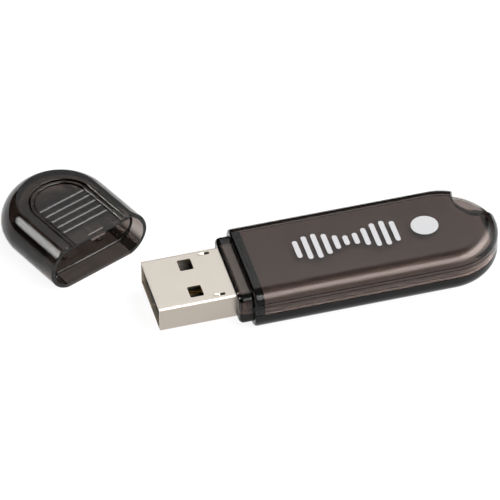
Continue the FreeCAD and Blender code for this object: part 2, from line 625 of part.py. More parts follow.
def make_board_parts():
    """Every part soldered to the board, by name, each seated on the board's top face."""
    controller_end = CONTROLLER_X + CONTROLLER_LENGTH / 2
    small_row = CONTROLLER_SPAN / 2 + CHIP_WIDTH
    load_row = CRYSTAL_WIDTH / 2 + LOAD_CAPACITOR_GAP + CHIP_WIDTH / 2
    data_x = (SURGE_X + CONTROLLER_X - CONTROLLER_LENGTH / 2) / 2
    return {
        "controller_chip": [moulded_chip(CONTROLLER_X, 0.0, CONTROLLER_LENGTH, CONTROLLER_WIDTH,
                                         CONTROLLER_HEIGHT)],
        "controller_pins": make_controller_pins(),
        "crystal": [make_crystal()],
        "load_capacitors": [end_capped(CRYSTAL_X, side * load_row, CHIP_LENGTH, CHIP_WIDTH, CAPACITOR_HEIGHT)
                            for side in (1, -1)],
        "decoupling_capacitors": [end_capped(x, small_row, CHIP_LENGTH, CHIP_WIDTH, CAPACITOR_HEIGHT)
                                  for x in (CONTROLLER_X - CHIP_LENGTH, CONTROLLER_X + CHIP_LENGTH)],
        "pull_up_resistor": [end_capped(controller_end - CHIP_LENGTH, -small_row, CHIP_LENGTH, CHIP_WIDTH,
                                        RESISTOR_HEIGHT)],
        "data_resistors": [end_capped(data_x, side * CHIP_LENGTH, CHIP_LENGTH, CHIP_WIDTH, RESISTOR_HEIGHT)
                           for side in (1, -1)],
        "surge_diodes": small_chip(SURGE_X, 0.0, (-1, 1), (-1, 1)),
        "voltage_regulator": small_chip(REGULATOR_X, REGULATOR_Y, (0,), (-1, 1)),
        "fuse": [end_capped(REGULATOR_X, -REGULATOR_Y, FUSE_LENGTH, FUSE_WIDTH, FUSE_HEIGHT)],
    }


# ---------------------------------------------------------------- cap
CAP_MOUTH = FRONT - CAP_SEAT_GAP
CAP_END_CENTRE = CAP_MOUTH - CAP_LENGTH + CAP_WIDTH / 2


def cap_form(inset=0.0, mouth=CAP_MOUTH, bevel=0.0):
    """The cap's outer form, pushed home on the stick, or that form moved in."""
    return round_ended(CAP, mouth, CAP_END_CENTRE, inset, bevel=bevel)


def cap_hollow():
    """The deep hollow, with the end wall thicker than the sides."""
    return round_ended(CAP, CAP_MOUTH, CAP_END_CENTRE + CAP_END_WALL - CAP_WALL, CAP_WALL, straight=True)


def pad_cut():
    """Arched recess of the grip pad, open at the mouth."""
    half = PAD_WIDTH / 2
    centre = CAP_MOUTH - PAD_LENGTH + half
    floor = CAP.top - PAD_DEPTH
    arch = upright(centre, 0, half, floor, REACH)
    return arch.fuse(box(centre, CAP_MOUTH + half, -half, half, floor, REACH))


def grip_ribs():
    floor = CAP.top - PAD_DEPTH
    half = GRIP_RIB_LENGTH / 2
    radius = GRIP_RIB_WIDTH / 2
    ribs = []
    for row in range(GRIP_RIBS):
        x = CAP_MOUTH - GRIP_RIB_FIRST - row * GRIP_RIB_PITCH
        bar = Part.makeCylinder(radius, 2 * half, Vector(x, -half, floor), Vector(0, 1, 0))
        flattened = bar.common(slab(floor - GRIP_RIB_RISE / 2, floor + GRIP_RIB_RISE))
        ribs.append(flattened)
    return ribs


def plug_guides():
    """Ribs inside the cap that reach to the plug: two above, two below and one at each side."""
    x1 = CAP_MOUTH - GUIDE_SETBACK
    x0 = x1 - GUIDE_LENGTH
    half = GUIDE_WIDTH / 2
    sink = CAP_WALL / 2
    above = box(x0, x1, GUIDE_OFFSET - half, GUIDE_OFFSET + half, PLUG_TOP + GUIDE_GAP,
                CAP.top - CAP_WALL + sink - PAD_DEPTH)
    below = box(x0, x1, GUIDE_OFFSET - half, GUIDE_OFFSET + half, CAP.bottom + CAP_WALL - sink,
                PLUG_BOTTOM - GUIDE_GAP)
    beside = box(x0, x1, PLUG_WIDTH / 2 + GUIDE_GAP, CAP.half_width - sink, PLUG_MID_HEIGHT - half,
                 PLUG_MID_HEIGHT + half)
    return [rib for pair in (above, below, beside) for rib in both_sides(pair)]


def cap_nub():
    return box(CAP_MOUTH - NUB_LENGTH, CAP_MOUTH, -NUB_WIDTH / 2, NUB_WIDTH / 2, COLLAR_TOP + NUB_GAP,
               CAP.top - CAP_MOUTH_WALL + FIT_GAP)


def make_cap_pushed_home():
    cap = cap_form(bevel=CAP_RIM_BEVEL).cut(pad_cut())
    mouth = cap_form(CAP_MOUTH_WALL, CAP_MOUTH + CAP_MOUTH_DEPTH)
    mouth = mouth.common(box(CAP_MOUTH - CAP_MOUTH_DEPTH, REACH, -REACH, REACH, -REACH, REACH))
    plug_room = plug_form(PLUG_CLEARANCE, PLUG_TIP - PLUG_CLEARANCE, CAP_MOUTH)
    cap = cap.cut([mouth, cap_hollow(), plug_room])
    return cap.fuse(grip_ribs() + plug_guides() + [cap_nub()]).removeSplitter()


def lay_down(cap):
    """Move the cap from the plug to its place beside the stick, flat on the same surface."""
    cap.translate(Vector(-CAP_MOUTH, 0, -CAP_BOTTOM))
    cap.rotate(Vector(0, 0, 0), Vector(0, 0, 1), CAP_TURN)
    cap.translate(Vector(CAP_PLACE_X, CAP_PLACE_Y, 0))
    return cap


# ---------------------------------------------------------------- write the nodes
def save(name, solids):
    shape = solids[0] if len(solids) == 1 else Part.makeCompound(solids)
    shape.exportStep(f"parts/{name}.step")
    print(f"{name}: {len(shape.Solids)} solids, valid {shape.isValid()}, {shape.Volume:.2f} cubic mm")


def main():
    os.makedirs("parts", exist_ok=True)
    nodes = {
        "top_shell": [make_top_shell()],
        "bottom_shell": [make_bottom_shell()],
        "inner_cover": [make_inner_cover()],
        "plug_shell": [make_plug_shell()],
        "plug_tongue": [make_tongue()],
        **{name: [bar] for name, bar in make_contacts().items()},
        "circuit_board": [make_board()],
        **make_board_parts(),
        "cap": [lay_down(make_cap_pushed_home())],
    }
    for name, solids in nodes.items():
        save(name, solids)


main()
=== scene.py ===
# %% [markdown]
# A pocket stick with a round tail, a folded steel plug and a pull-off cap, dressed for a light studio.
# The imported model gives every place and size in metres. Each cell below makes one piece or one finish,
# and says first what the real one is, how it could be made and why it is made in this way.

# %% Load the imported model
import math

import bpy
from mathutils import Matrix, Vector


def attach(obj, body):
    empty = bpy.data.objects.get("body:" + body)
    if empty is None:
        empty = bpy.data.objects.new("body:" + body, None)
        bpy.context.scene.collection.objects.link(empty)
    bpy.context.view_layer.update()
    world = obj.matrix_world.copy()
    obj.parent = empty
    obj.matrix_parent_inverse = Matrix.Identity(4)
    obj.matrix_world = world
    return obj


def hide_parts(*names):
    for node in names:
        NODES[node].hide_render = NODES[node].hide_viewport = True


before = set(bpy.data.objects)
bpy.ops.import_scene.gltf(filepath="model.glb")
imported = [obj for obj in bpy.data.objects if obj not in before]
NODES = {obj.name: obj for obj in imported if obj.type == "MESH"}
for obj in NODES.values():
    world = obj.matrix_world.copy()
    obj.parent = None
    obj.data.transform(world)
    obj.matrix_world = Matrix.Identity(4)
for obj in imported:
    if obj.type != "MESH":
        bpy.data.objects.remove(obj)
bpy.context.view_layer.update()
MM = 0.001

# %% [markdown]
# Modelling by operators is modelling by hand, written down. A mesh could also be a list of points, but
# then nobody sees how it came about. These helpers do what a hand does over and over: clear the
# selection, go into edit mode, pick vertices by their place, merge doubles. Sizes and places are in
# millimetres, and MM turns them into the model's metres.

# %% Select and edit
NEAR = 1e-3             # places closer than this count as one, in millimetres
MERGE = 1e-7            # vertices closer than this are merged, in metres
POLE_MERGE = 1e-6       # the same where a spin ends on its axis


def metres(*place):
    return [value * MM for value in place]


def pick(*objects):
    """Back in object mode, with only these objects selected and active."""
    if bpy.context.mode != "OBJECT":
        bpy.ops.object.mode_set(mode="OBJECT")
    bpy.ops.object.select_all(action="DESELECT")
    for thing in objects:
        thing.select_set(True)
        bpy.context.view_layer.objects.active = thing


def edit(thing, mode="VERT"):
    """Into edit mode with nothing selected."""
    pick(thing)
    bpy.ops.object.mode_set(mode="EDIT")
    bpy.ops.mesh.select_mode(type=mode)
    bpy.ops.mesh.select_all(action="DESELECT")


def choose(thing, wanted, kind="vertices", along=None):
    """Select the vertices, edges or polygons with every place wanted.

    For edges, along is 0, 1 or 2 for X, Y or Z, and leaves out those that don't run along it.
    """
    bpy.ops.object.mode_set(mode="OBJECT")
    mesh = thing.data
    for part in getattr(mesh, kind):
        if kind == "vertices":
            places = [part.co / MM]
        else:
            places = [mesh.vertices[index].co / MM for index in part.vertices]
        runs = along is None or abs(places[0][along] - places[1][along]) > NEAR
        part.select = runs and all(wanted(place) for place in places)
    bpy.ops.object.mode_set(mode="EDIT")


def at_x(x):
    """A test for the places in the upright plane at x."""
    return lambda place: abs(place.x - x) < NEAR


def settle(thing):
    """Doubles merged, normals outwards, and the object's place put into its mesh."""
    bpy.ops.object.mode_set(mode="EDIT")
    bpy.ops.mesh.select_all(action="SELECT")
    bpy.ops.mesh.remove_doubles(threshold=MERGE)
    bpy.ops.mesh.normals_make_consistent(inside=False)
    bpy.ops.mesh.select_all(action="DESELECT")
    return put(thing)


def put(thing, place=(0, 0, 0), turn=0.0):
    """Turn about Z and move, with both applied to the mesh."""
    pick(thing)
    thing.rotation_euler.z += turn
    thing.location += Vector(metres(*place))
    bpy.ops.object.transform_apply(location=True, rotation=True, scale=True)
    return thing


print("places within", NEAR, "mm count as one")

# %% [markdown]
# A mould is cut from blocks with cutters, and a Boolean modifier does the same to a solid. Free modelling
# could follow each edge by hand, but cutters keep the walls true and can be used again on a neighbour.

# %% Primitives and cutters
def named(thing, name):
    """One name for an object and its mesh."""
    thing.name = thing.data.name = name
    return thing


def copied(thing, name):
    """A copy with a mesh of its own."""
    copy = thing.copy()
    copy.data = thing.data.copy()
    bpy.context.collection.objects.link(copy)
    return named(copy, name)


def block(name, x0, x1, y0, y1, z0, z1):
    """Cube primitive at its size and place."""
    pick()
    middle = metres((x0 + x1) / 2, (y0 + y1) / 2, (z0 + z1) / 2)
    bpy.ops.mesh.primitive_cube_add(size=1, location=middle)
    bpy.context.active_object.scale = metres(x1 - x0, y1 - y0, z1 - z0)
    return put(named(bpy.context.active_object, name))


def rod(name, x, y, radius, z0, z1, sides=64):
    """Upright cylinder primitive."""
    pick()
    bpy.ops.mesh.primitive_cylinder_add(vertices=sides, radius=radius * MM, depth=(z1 - z0) * MM,
                                        location=metres(x, y, (z0 + z1) / 2))
    return put(named(bpy.context.active_object, name))


def apply_modifier(thing, kind, **settings):
    pick(thing)
    modifier = thing.modifiers.new(kind.lower(), kind)
    for key, value in settings.items():
        setattr(modifier, key, value)
    bpy.ops.object.modifier_apply(modifier=modifier.name)


def combine(thing, others, operation):
    """Union, difference or intersection with other solids, which are used up."""
    for other in others:
        apply_modifier(thing, "BOOLEAN", object=other, operation=operation, solver="EXACT")
        bpy.data.objects.remove(other)
    return thing


def cut(thing, *others):
    return combine(thing, others, "DIFFERENCE")


def join(thing, *others):
    return combine(thing, others, "UNION")


def keep(thing, *others):
    return combine(thing, others, "INTERSECT")


def bevel_edges(thing, width, segments, wanted=lambda place: True, along=None):
    """Round the edges whose both ends are wanted."""
    edit(thing, "EDGE")
    choose(thing, wanted, "edges", along)
    bpy.ops.mesh.bevel(offset=width * MM, segments=segments, affect="EDGES", profile=0.5)
    bpy.ops.object.mode_set(mode="OBJECT")
    return thing


def on_both_sides(inner, outer):
    """The ranges of y on the left and on the right between two distances from the middle."""
    return (inner, outer), (-outer, -inner)


print("cut, join and keep are ready")

# %% [markdown]
# The body is one long form: a section with two rounded corners, drawn straight from the plug end to the
# middle of the tail and turned half round there. A bevelled block could come near, but its corners would
# be true quarter rounds, and these are flatter arcs. So the section is drawn as a draughtsman would, from
# one vertex: a line across the top, an arc over the shoulder, a line down the side, an arc below.

# %% Draw a section
FRONT, TAIL_CENTRE = -21.0, 12.0
BODY_HALF, BODY_TOP = 9.0, 7.7
SHOULDER = (2.4, 1.85, 0.56)        # of an arc: run across, drop down, bulge from its chord
UNDER = (2.55, 2.9, 0.74)
BODY = (BODY_HALF, 0.0, BODY_TOP, SHOULDER, UNDER)
ARC_STEPS = 14


def corner_circle(corner):
    """From the sharp corner: how far in and down its arc's centre is, and the radius."""
    run, drop, bulge = corner
    chord = math.hypot(run, drop)
    radius = (chord ** 2 / 4 + bulge ** 2) / (2 * bulge)
    reach = radius - bulge
    return run / 2 + reach * drop / chord, drop / 2 + reach * run / chord, radius


def corner_arc(section, upper, inset):
    """Centre, end on the flat and end on the side of a corner's arc, each as (y, z)."""
    half, bottom, top, shoulder, under = section
    level, up = (top, 1) if upper else (bottom, -1)
    inwards, downwards, radius = corner_circle(shoulder if upper else under)
    centre = (half - inwards, level - up * downwards)
    radius -= inset
    flat, side = level - up * inset, half - inset
    on_flat = (centre[0] + math.sqrt(max(radius ** 2 - (flat - centre[1]) ** 2, 0)), flat)
    on_side = (side, centre[1] + up * math.sqrt(max(radius ** 2 - (side - centre[0]) ** 2, 0)))
    return centre, on_flat, on_side


def start_drawing(name, x, start):
    """One selected vertex at a (y, z) place: a plane primitive merged to its centre."""
    pick()
    bpy.ops.mesh.primitive_plane_add(size=MM, location=metres(x, *start))
    thing = put(named(bpy.context.active_object, name))
    bpy.ops.object.mode_set(mode="EDIT")
    bpy.ops.mesh.select_mode(type="VERT")
    bpy.ops.mesh.select_all(action="SELECT")
    bpy.ops.mesh.merge(type="CENTER")
    return thing


def draw_to(start, end):
    """Extrude the one selected vertex along a straight line."""
    move = (0, (end[0] - start[0]) * MM, (end[1] - start[1]) * MM)
    bpy.ops.mesh.extrude_region_move(TRANSFORM_OT_translate={"value": move})


def draw_arc(x, centre, start, end):
    """Spin the one selected vertex round a centre."""
    a0 = math.atan2(start[1] - centre[1], start[0] - centre[0])
    a1 = math.atan2(end[1] - centre[1], end[0] - centre[0])
    bpy.ops.mesh.spin(steps=ARC_STEPS, angle=a0 - a1, center=metres(x, *centre), axis=(1, 0, 0))


def draw_section(name, x, section, inset, grooves):
    """Half a section, from the middle of its top round to the middle of its underside."""
    upper_centre, top_flat, place = corner_arc(section, True, inset)
    lower_centre, low_flat, low_side = corner_arc(section, False, inset)
    top, side = (0.0, top_flat[1]), place[0]
    thing = start_drawing(name, x, top)
    draw_to(top, top_flat)
    draw_arc(x, upper_centre, top_flat, place)
    for groove_top, groove_bottom, depth in grooves:
        for corner in ((side, groove_top), (side - depth, groove_top), (side - depth, groove_bottom),
                       (side, groove_bottom)):
            if math.dist(corner, place) > NEAR:
                draw_to(place, corner)
            place = corner
    draw_to(place, low_side)
    draw_arc(x, lower_centre, low_side, low_flat)
    draw_to(low_flat, (0.0, low_flat[1]))
    return thing


print("shoulder radius", round(corner_circle(SHOULDER)[2], 2), "mm")

# %% [markdown]
# Spin turns the drawn half section into the tail, extrude draws the tail's open ring out into the
# straight part, and one face closes the front. The front's edge is rounded by a few short extrudes, each
# a little smaller than the last. A bevel there would stumble over the fine lines of the side.

# %% Sweep a section
TAIL_STEPS, RIM_STEPS = 72, 3


def round_rim(section, inset, inwards, rim):
    """Extrude the selected ring forwards along a quarter round: drawn in for rim above 0, out below 0."""
    half, middle = section[0] - inset, (section[1] + section[2]) / 2
    rise = section[2] - inset - middle
    at, drawn_in = 0.0, 0.0
    for step in range(1, RIM_STEPS + 1):
        turn = math.pi / 2 * step / RIM_STEPS
        reach, shrink = abs(rim) * math.sin(turn), rim * (1 - math.cos(turn))
        move = (-inwards * (reach - at) * MM, 0, 0)
        bpy.ops.mesh.extrude_region_move(TRANSFORM_OT_translate={"value": move})
        shares = (1, (half - shrink) / (half - drawn_in), (rise - shrink) / (rise - drawn_in))
        bpy.ops.transform.resize(value=shares, center_override=(0, 0, middle * MM))
        at, drawn_in = reach, shrink


def swept(name, section, front, centre_x, inset=0.0, rim=0.0, grooves=()):
    """The long form of a section: flat at front, round about centre_x.

    inset makes it smaller all round, rim rounds the front's edge, and each groove is
    (top, bottom, depth) of a fine line in the upright side.
    """
    thing = draw_section(name, centre_x, section, inset, grooves)
    bpy.ops.mesh.select_all(action="SELECT")
    inwards = math.copysign(1, centre_x - front)
    bpy.ops.mesh.spin(steps=TAIL_STEPS, angle=inwards * math.pi, center=(centre_x * MM, 0, 0),
                      axis=(0, 0, 1))
    bpy.ops.mesh.select_all(action="SELECT")
    bpy.ops.mesh.remove_doubles(threshold=POLE_MERGE)
    choose(thing, at_x(centre_x))
    straight = front + inwards * abs(rim) - centre_x
    bpy.ops.mesh.extrude_region_move(TRANSFORM_OT_translate={"value": (straight * MM, 0, 0)})
    if rim:
        round_rim(section, inset, inwards, rim)
    choose(thing, at_x(front))
    bpy.ops.mesh.edge_face_add()
    return settle(thing)


print("a tail is turned in", TAIL_STEPS, "steps")

# %% [markdown]
# Both shells share a collar in front, which the cap goes over, the opening for the plug and the round
# bite of the lanyard corner. Each is a cutter or a block of its own, made by a function, because a
# Boolean uses up the solid that it is given.

# %% Forms that the shells share
WALL, FRONT_WALL, GAP = 1.15, 1.75, 0.05
HOLLOW_FRONT = FRONT + FRONT_WALL
COLLAR_FRONT = FRONT - 2.25
COLLAR_HALF, COLLAR_FLOOR, COLLAR_TOP, COLLAR_CORNER, COLLAR_EDGE = 7.95, 1.15, 6.7, 1.25, 0.75
PLUG_TIP, PLUG_BACK = -35.7, -16.95
PLUG_HALF, PLUG_FLOOR, PLUG_TOP, PLUG_BEND = 6.0, 1.5, 6.0, 0.45
FRONT_ROUNDING = 0.45
FAR = 60.0              # past everything
PAST = 2.0              # how far a cutter runs out past its wall


def slab(z0, z1=FAR):
    """All that lies between two heights."""
    return block("slab", -FAR, FAR, -FAR, FAR, z0, z1)


def bar(name, x0, x1, half, floor, top, radius, segments=8):
    """Bar along X with its four long edges rounded."""
    return bevel_edges(block(name, x0, x1, -half, half, floor, top), radius, segments, along=0)


def collar():
    thing = bar("collar", COLLAR_FRONT, HOLLOW_FRONT, COLLAR_HALF, COLLAR_FLOOR, COLLAR_TOP, COLLAR_CORNER)
    return bevel_edges(thing, COLLAR_EDGE, 6, at_x(COLLAR_FRONT))


def plug_opening():
    return bar("plug_opening", COLLAR_FRONT - PAST, HOLLOW_FRONT + PAST, PLUG_HALF + GAP,
               PLUG_FLOOR - GAP, PLUG_TOP + GAP, PLUG_BEND + GAP)


def outer_form(grooves=()):
    form = swept("outer_form", BODY, FRONT, TAIL_CENTRE, rim=FRONT_ROUNDING, grooves=grooves)
    join(form, collar())
    return cut(form, plug_opening())


print("collar", round(2 * COLLAR_HALF, 2), "mm wide in front of a body of", 2 * BODY_HALF)

# %% [markdown]
# At one corner of the tail a round bite leaves a ledge, and a cord goes through a hole in it. The bite
# is a cylinder set by its reach and direction from the tail's centre. The wall round it is much thinner
# than elsewhere, and the room under the ledge goes almost out to its rim, so the plastic there looks as
# clear as on the real stick.

# %% Lanyard corner
SCOOP_RADIUS, SCOOP_REACH, SCOOP_ANGLE = 4.55, 9.37, 33.3
LEDGE, LEDGE_WALL, LEDGE_SKIN, LEDGE_RIM, LEDGE_ROOM_FLOOR = 5.35, 0.15, 0.42, 0.12, 4.3
LANYARD_RADIUS, LANYARD_REACH, LANYARD_ANGLE = 1.1, 6.7, 20.0
BOSS_RADIUS = LANYARD_RADIUS + 0.7
SCOOP_SIDES = 128


def polar(reach, degrees):
    """The (x, y) at this reach and direction from the tail's centre."""
    angle = math.radians(degrees)
    return TAIL_CENTRE + reach * math.cos(angle), reach * math.sin(angle)


def scoop(grow, z0, z1=FAR / 2):
    return rod("scoop", *polar(SCOOP_REACH, SCOOP_ANGLE), SCOOP_RADIUS + grow, z0, z1, SCOOP_SIDES)


def lanyard_bar(radius, z0, z1=FAR / 2):
    return rod("lanyard_bar", *polar(LANYARD_REACH, LANYARD_ANGLE), radius, z0, z1)


def hollow(inset, front=HOLLOW_FRONT, gap=0.0):
    """The room inside a wall of this thickness, down to just under the ledge."""
    room = swept("hollow", BODY, front, TAIL_CENTRE, inset)
    return cut(room, scoop(LEDGE_WALL + gap, LEDGE - LEDGE_SKIN - gap))


def under_ledge(gap):
    """The room right under the ledge, which reaches almost to its rim."""
    room = swept("under_ledge", BODY, 0, TAIL_CENTRE, LEDGE_RIM + gap)
    return keep(room, scoop(-gap, LEDGE_ROOM_FLOOR + gap, LEDGE - LEDGE_SKIN - gap))


print("bite at", [round(value, 2) for value in polar(SCOOP_REACH, SCOOP_ANGLE)])

# %% [markdown]
# The upper shell is a clear smoke moulding with fine lines along its side. It could be a surface with a
# see-through finish, but light bends through the real one, so it is one solid with a real wall: the outer
# form, less the hollow, the bite and the lanyard hole. Smooth shading breaks at the real edges, and
# weighted normals keep the large faces flat.

# %% Upper shell
PARTING = 3.55
LINE_TOP, LINE_PITCH, LINE_WIDTH, LINE_DEPTH = 5.85, 0.63, 0.12, 0.1
OVERLAP = 0.01          # so that no two faces of a solid and its cutter coincide
SMOOTH_ANGLE = math.radians(28)


def finished(thing, body, slot, *replaced):
    """Smooth a piece, let it ride on a body and stand for CAD nodes. The slot is not used."""
    pick(thing)
    bpy.ops.object.shade_smooth_by_angle(angle=SMOOTH_ANGLE)
    apply_modifier(thing, "WEIGHTED_NORMAL", mode="FACE_AREA", weight=50, keep_sharp=True)
    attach(thing, body)
    if replaced:
        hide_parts(*replaced)
    size = [round(side / MM, 2) for side in thing.dimensions]
    print(thing.name, size, "mm,", len(thing.data.polygons), "faces")
    return thing


tops = [LINE_TOP - row * LINE_PITCH for row in range(2)]
lines = [(top, top - LINE_WIDTH, LINE_DEPTH) for top in tops]
lines.append((PARTING + LINE_DEPTH, PARTING - LINE_DEPTH, LINE_DEPTH))
upper_shell = named(outer_form(lines), "upper_shell")
keep(upper_shell, slab(PARTING))
cut(upper_shell, hollow(WALL), under_ledge(0.0), scoop(0.0, LEDGE))
join(upper_shell, lanyard_bar(BOSS_RADIUS, PARTING + OVERLAP, LEDGE - LEDGE_SKIN / 2))
cut(upper_shell, lanyard_bar(LANYARD_RADIUS, -1))
finished(upper_shell, "stick", "smoke_upper", "top_shell")

# %% [markdown]
# The lower shell is moulded in a denser smoke that looks black. Its wall is thick above, and a low lip
# stands up inside the upper shell's wall. The two halves could meet face to face, but a hairline of air
# is left between them: the real joint has one, and light that runs down the clear wall turns back there.

# %% Lower shell
RIM_THICKNESS, RIM_FOOT, LIP_RISE = 1.8, 2.1, 0.12
PARTING_GAP, BOSS_INSET = 0.03, 0.02


def lower_room(inset, z0, z1=FAR):
    """A layer of the room inside a wall of this thickness."""
    return keep(swept("lower_room", BODY, HOLLOW_FRONT, TAIL_CENTRE, inset), slab(z0, z1))


lower_shell = named(outer_form(), "lower_shell")
keep(lower_shell, slab(-FAR, PARTING - PARTING_GAP))
cut(lower_shell, lower_room(WALL, 0, RIM_FOOT), lower_room(RIM_THICKNESS, RIM_FOOT - OVERLAP))
lip = swept("lip", BODY, HOLLOW_FRONT + GAP, TAIL_CENTRE, WALL + GAP)
cut(lip, swept("lip_room", BODY, FRONT, TAIL_CENTRE, RIM_THICKNESS))
keep(lip, slab(PARTING - RIM_THICKNESS / 3, PARTING + LIP_RISE))
cut(lip, lanyard_bar(BOSS_RADIUS + GAP, PARTING + OVERLAP))
boss = lanyard_bar(BOSS_RADIUS, WALL / 2, PARTING - OVERLAP)
keep(boss, swept("boss_form", BODY, FRONT, TAIL_CENTRE, BOSS_INSET))
join(lower_shell, lip, boss)
cut(lower_shell, lanyard_bar(LANYARD_RADIUS, -1))
finished(lower_shell, "stick", "smoke_lower", "bottom_shell")

# %% [markdown]
# Inside the clear shell lies a thin lining, metallised to a dark bronze, which gives the stick its
# colour. A bronze tint in the shell could stand for it, but then the highlight would lie on the shell
# alone, and not also deep under its shoulder. It is the hollow of the shell, less a smaller hollow.

# %% Bronze lining
LINING = 0.4

lining = named(hollow(WALL + GAP, HOLLOW_FRONT + GAP, GAP), "bronze_lining")
cut(lining, hollow(WALL + GAP + LINING, FRONT, GAP + LINING))
join(lining, under_ledge(GAP))
keep(lining, slab(PARTING + LIP_RISE))
cut(lining, lanyard_bar(BOSS_RADIUS + GAP, 0))
finished(lining, "stick", "bronze_lining", "inner_cover")

# %% [markdown]
# The plug is one strip of nickel-plated steel, folded into a square tube. Its edges are bends, not
# corners, and its mouth is a cut edge. It could be a plane with thickness, folded four times. A rounded
# bar with a rounded bore gives the same bends with fewer steps, and punches make the two latch windows
# and the openings of the two small tabs.

# %% Folded steel plug
STEEL, CUT_EDGE = 0.3, 0.06
WINDOW_X, WINDOW_LENGTH, WINDOW_Y, WINDOW_WIDTH, WINDOW_CORNER = PLUG_TIP + 5.45, 2.2, 3.2, 2.5, 0.22
LANCE_X, LANCE_LENGTH, LANCE_Y, LANCE_WIDTH, LANCE_CORNER = PLUG_TIP + 9.0, 1.9, 4.95, 0.55, 0.06
PLUG_MID = (PLUG_FLOOR + PLUG_TOP) / 2


def punched(x0, length, sides, radius):
    """A punch with rounded upright edges, through the top face of the plug."""
    return bevel_edges(block("punch", x0, x0 + length, *sides, PLUG_MID, PLUG_TOP + 1), radius, 4, along=2)


plug = bar("plug_sleeve", PLUG_TIP, PLUG_BACK, PLUG_HALF, PLUG_FLOOR, PLUG_TOP, PLUG_BEND, segments=10)
bevel_edges(plug, CUT_EDGE, 2, at_x(PLUG_TIP))
cut(plug, bar("plug_bore", PLUG_TIP - 1, PLUG_BACK + 1, PLUG_HALF - STEEL, PLUG_FLOOR + STEEL,
              PLUG_TOP - STEEL, PLUG_BEND - STEEL))
windows = on_both_sides(WINDOW_Y - WINDOW_WIDTH / 2, WINDOW_Y + WINDOW_WIDTH / 2)
lances = on_both_sides(LANCE_Y - LANCE_WIDTH / 2, LANCE_Y + LANCE_WIDTH / 2)
for window, lance in zip(windows, lances):
    cut(plug, punched(WINDOW_X, WINDOW_LENGTH, window, WINDOW_CORNER),
        punched(LANCE_X, LANCE_LENGTH, lance, LANCE_CORNER))
print("plug", 2 * PLUG_HALF, "by", PLUG_TOP - PLUG_FLOOR, "mm")

# %% [markdown]
# The two edges of the strip meet along the underside, held by one dovetail, and two legs go back to the
# board. The seam could be a dark line in the finish, but a thin slit shows as a slit at every angle. It
# is a straight slit that goes round the dovetail, and the dovetail is a bar whose far side is drawn wider.

# %% Seam and legs of the plug
SEAM, DOVETAIL_X, DOVETAIL_NECK, DOVETAIL_HEAD, DOVETAIL_DEPTH = 0.08, PLUG_TIP + 8.6, 2.2, 3.0, 1.3
SEAM_HEIGHTS = PLUG_FLOOR - STEEL, PLUG_FLOOR + 2 * STEEL
LEG_LENGTH, LEG_HEIGHT = 2.9, 2.0


def dovetail(grow):
    """The tongue of the seam: a bar whose far side is drawn wider."""
    neck = DOVETAIL_NECK + 2 * grow
    tail = block("dovetail", DOVETAIL_X - grow, DOVETAIL_X + neck - grow, -SEAM, DOVETAIL_DEPTH + grow,
                 *SEAM_HEIGHTS)
    edit(tail)
    choose(tail, lambda place: place.y > 0)
    wider = (neck + DOVETAIL_HEAD - DOVETAIL_NECK) / neck
    middle = (DOVETAIL_X + DOVETAIL_NECK / 2) * MM
    bpy.ops.transform.resize(value=(wider, 1, 1), center_override=(middle, 0, 0))
    bpy.ops.object.mode_set(mode="OBJECT")
    return tail


slit = block("slit", PLUG_TIP - 1, PLUG_BACK + 1, -SEAM / 2, SEAM / 2, *SEAM_HEIGHTS)
seam = cut(dovetail(SEAM), dovetail(0.0))
keep(seam, block("far_side", PLUG_TIP, PLUG_BACK, -SEAM / 2, FAR, 0, FAR))
cut(plug, join(cut(slit, dovetail(0.0)), seam))
for sides in on_both_sides(PLUG_HALF - STEEL, PLUG_HALF):
    join(plug, block("leg", PLUG_BACK - STEEL, PLUG_BACK + LEG_LENGTH, *sides,
                     PLUG_MID - LEG_HEIGHT / 2, PLUG_MID + LEG_HEIGHT / 2))
finished(plug, "stick", "plated_steel", "plug_shell")

# %% [markdown]
# Behind each window a small tab is lanced out of the steel and bent a little down. It could be bent in
# place, out of the plug's own faces, but a piece of its own keeps the plug's mesh clean. It is turned
# about its root by 8 degrees.

# %% Small bent tabs of the plug
LANCE_BEND = math.radians(8.0)
TAB_GAP, TAB_ROOT, TAB_LENGTH, TAB_SUNK, TAB_ROUNDING = 0.04, 0.1, 1.15, 0.01, 0.08

tabs = []
for name, sides in zip(("left_tab", "right_tab"), on_both_sides(lances[0][0] + TAB_GAP,
                                                                lances[0][1] - TAB_GAP)):
    tab = block(name, LANCE_X - TAB_ROOT, LANCE_X + TAB_LENGTH, *sides, PLUG_TOP - STEEL, PLUG_TOP - TAB_SUNK)
    bevel_edges(tab, TAB_ROUNDING, 3, at_x(LANCE_X + TAB_LENGTH))
    root = Vector(metres(LANCE_X, 0, PLUG_TOP))
    tab.rotation_euler.y = LANCE_BEND
    tab.location = root - Matrix.Rotation(LANCE_BEND, 3, "Y") @ root
    tabs.append(finished(put(tab), "stick", "plated_steel"))

# %% [markdown]
# The cap is dense clear smoke, and its form is the body's, a little larger. Its mouth is wider for the
# collar, and the step behind it catches a line of light. A cutter with the pad's outline sinks the grip
# pad: the foot of the cutter is inset and drawn down again and again, which leaves two fine grooves round
# the pad with a flat strip between them.

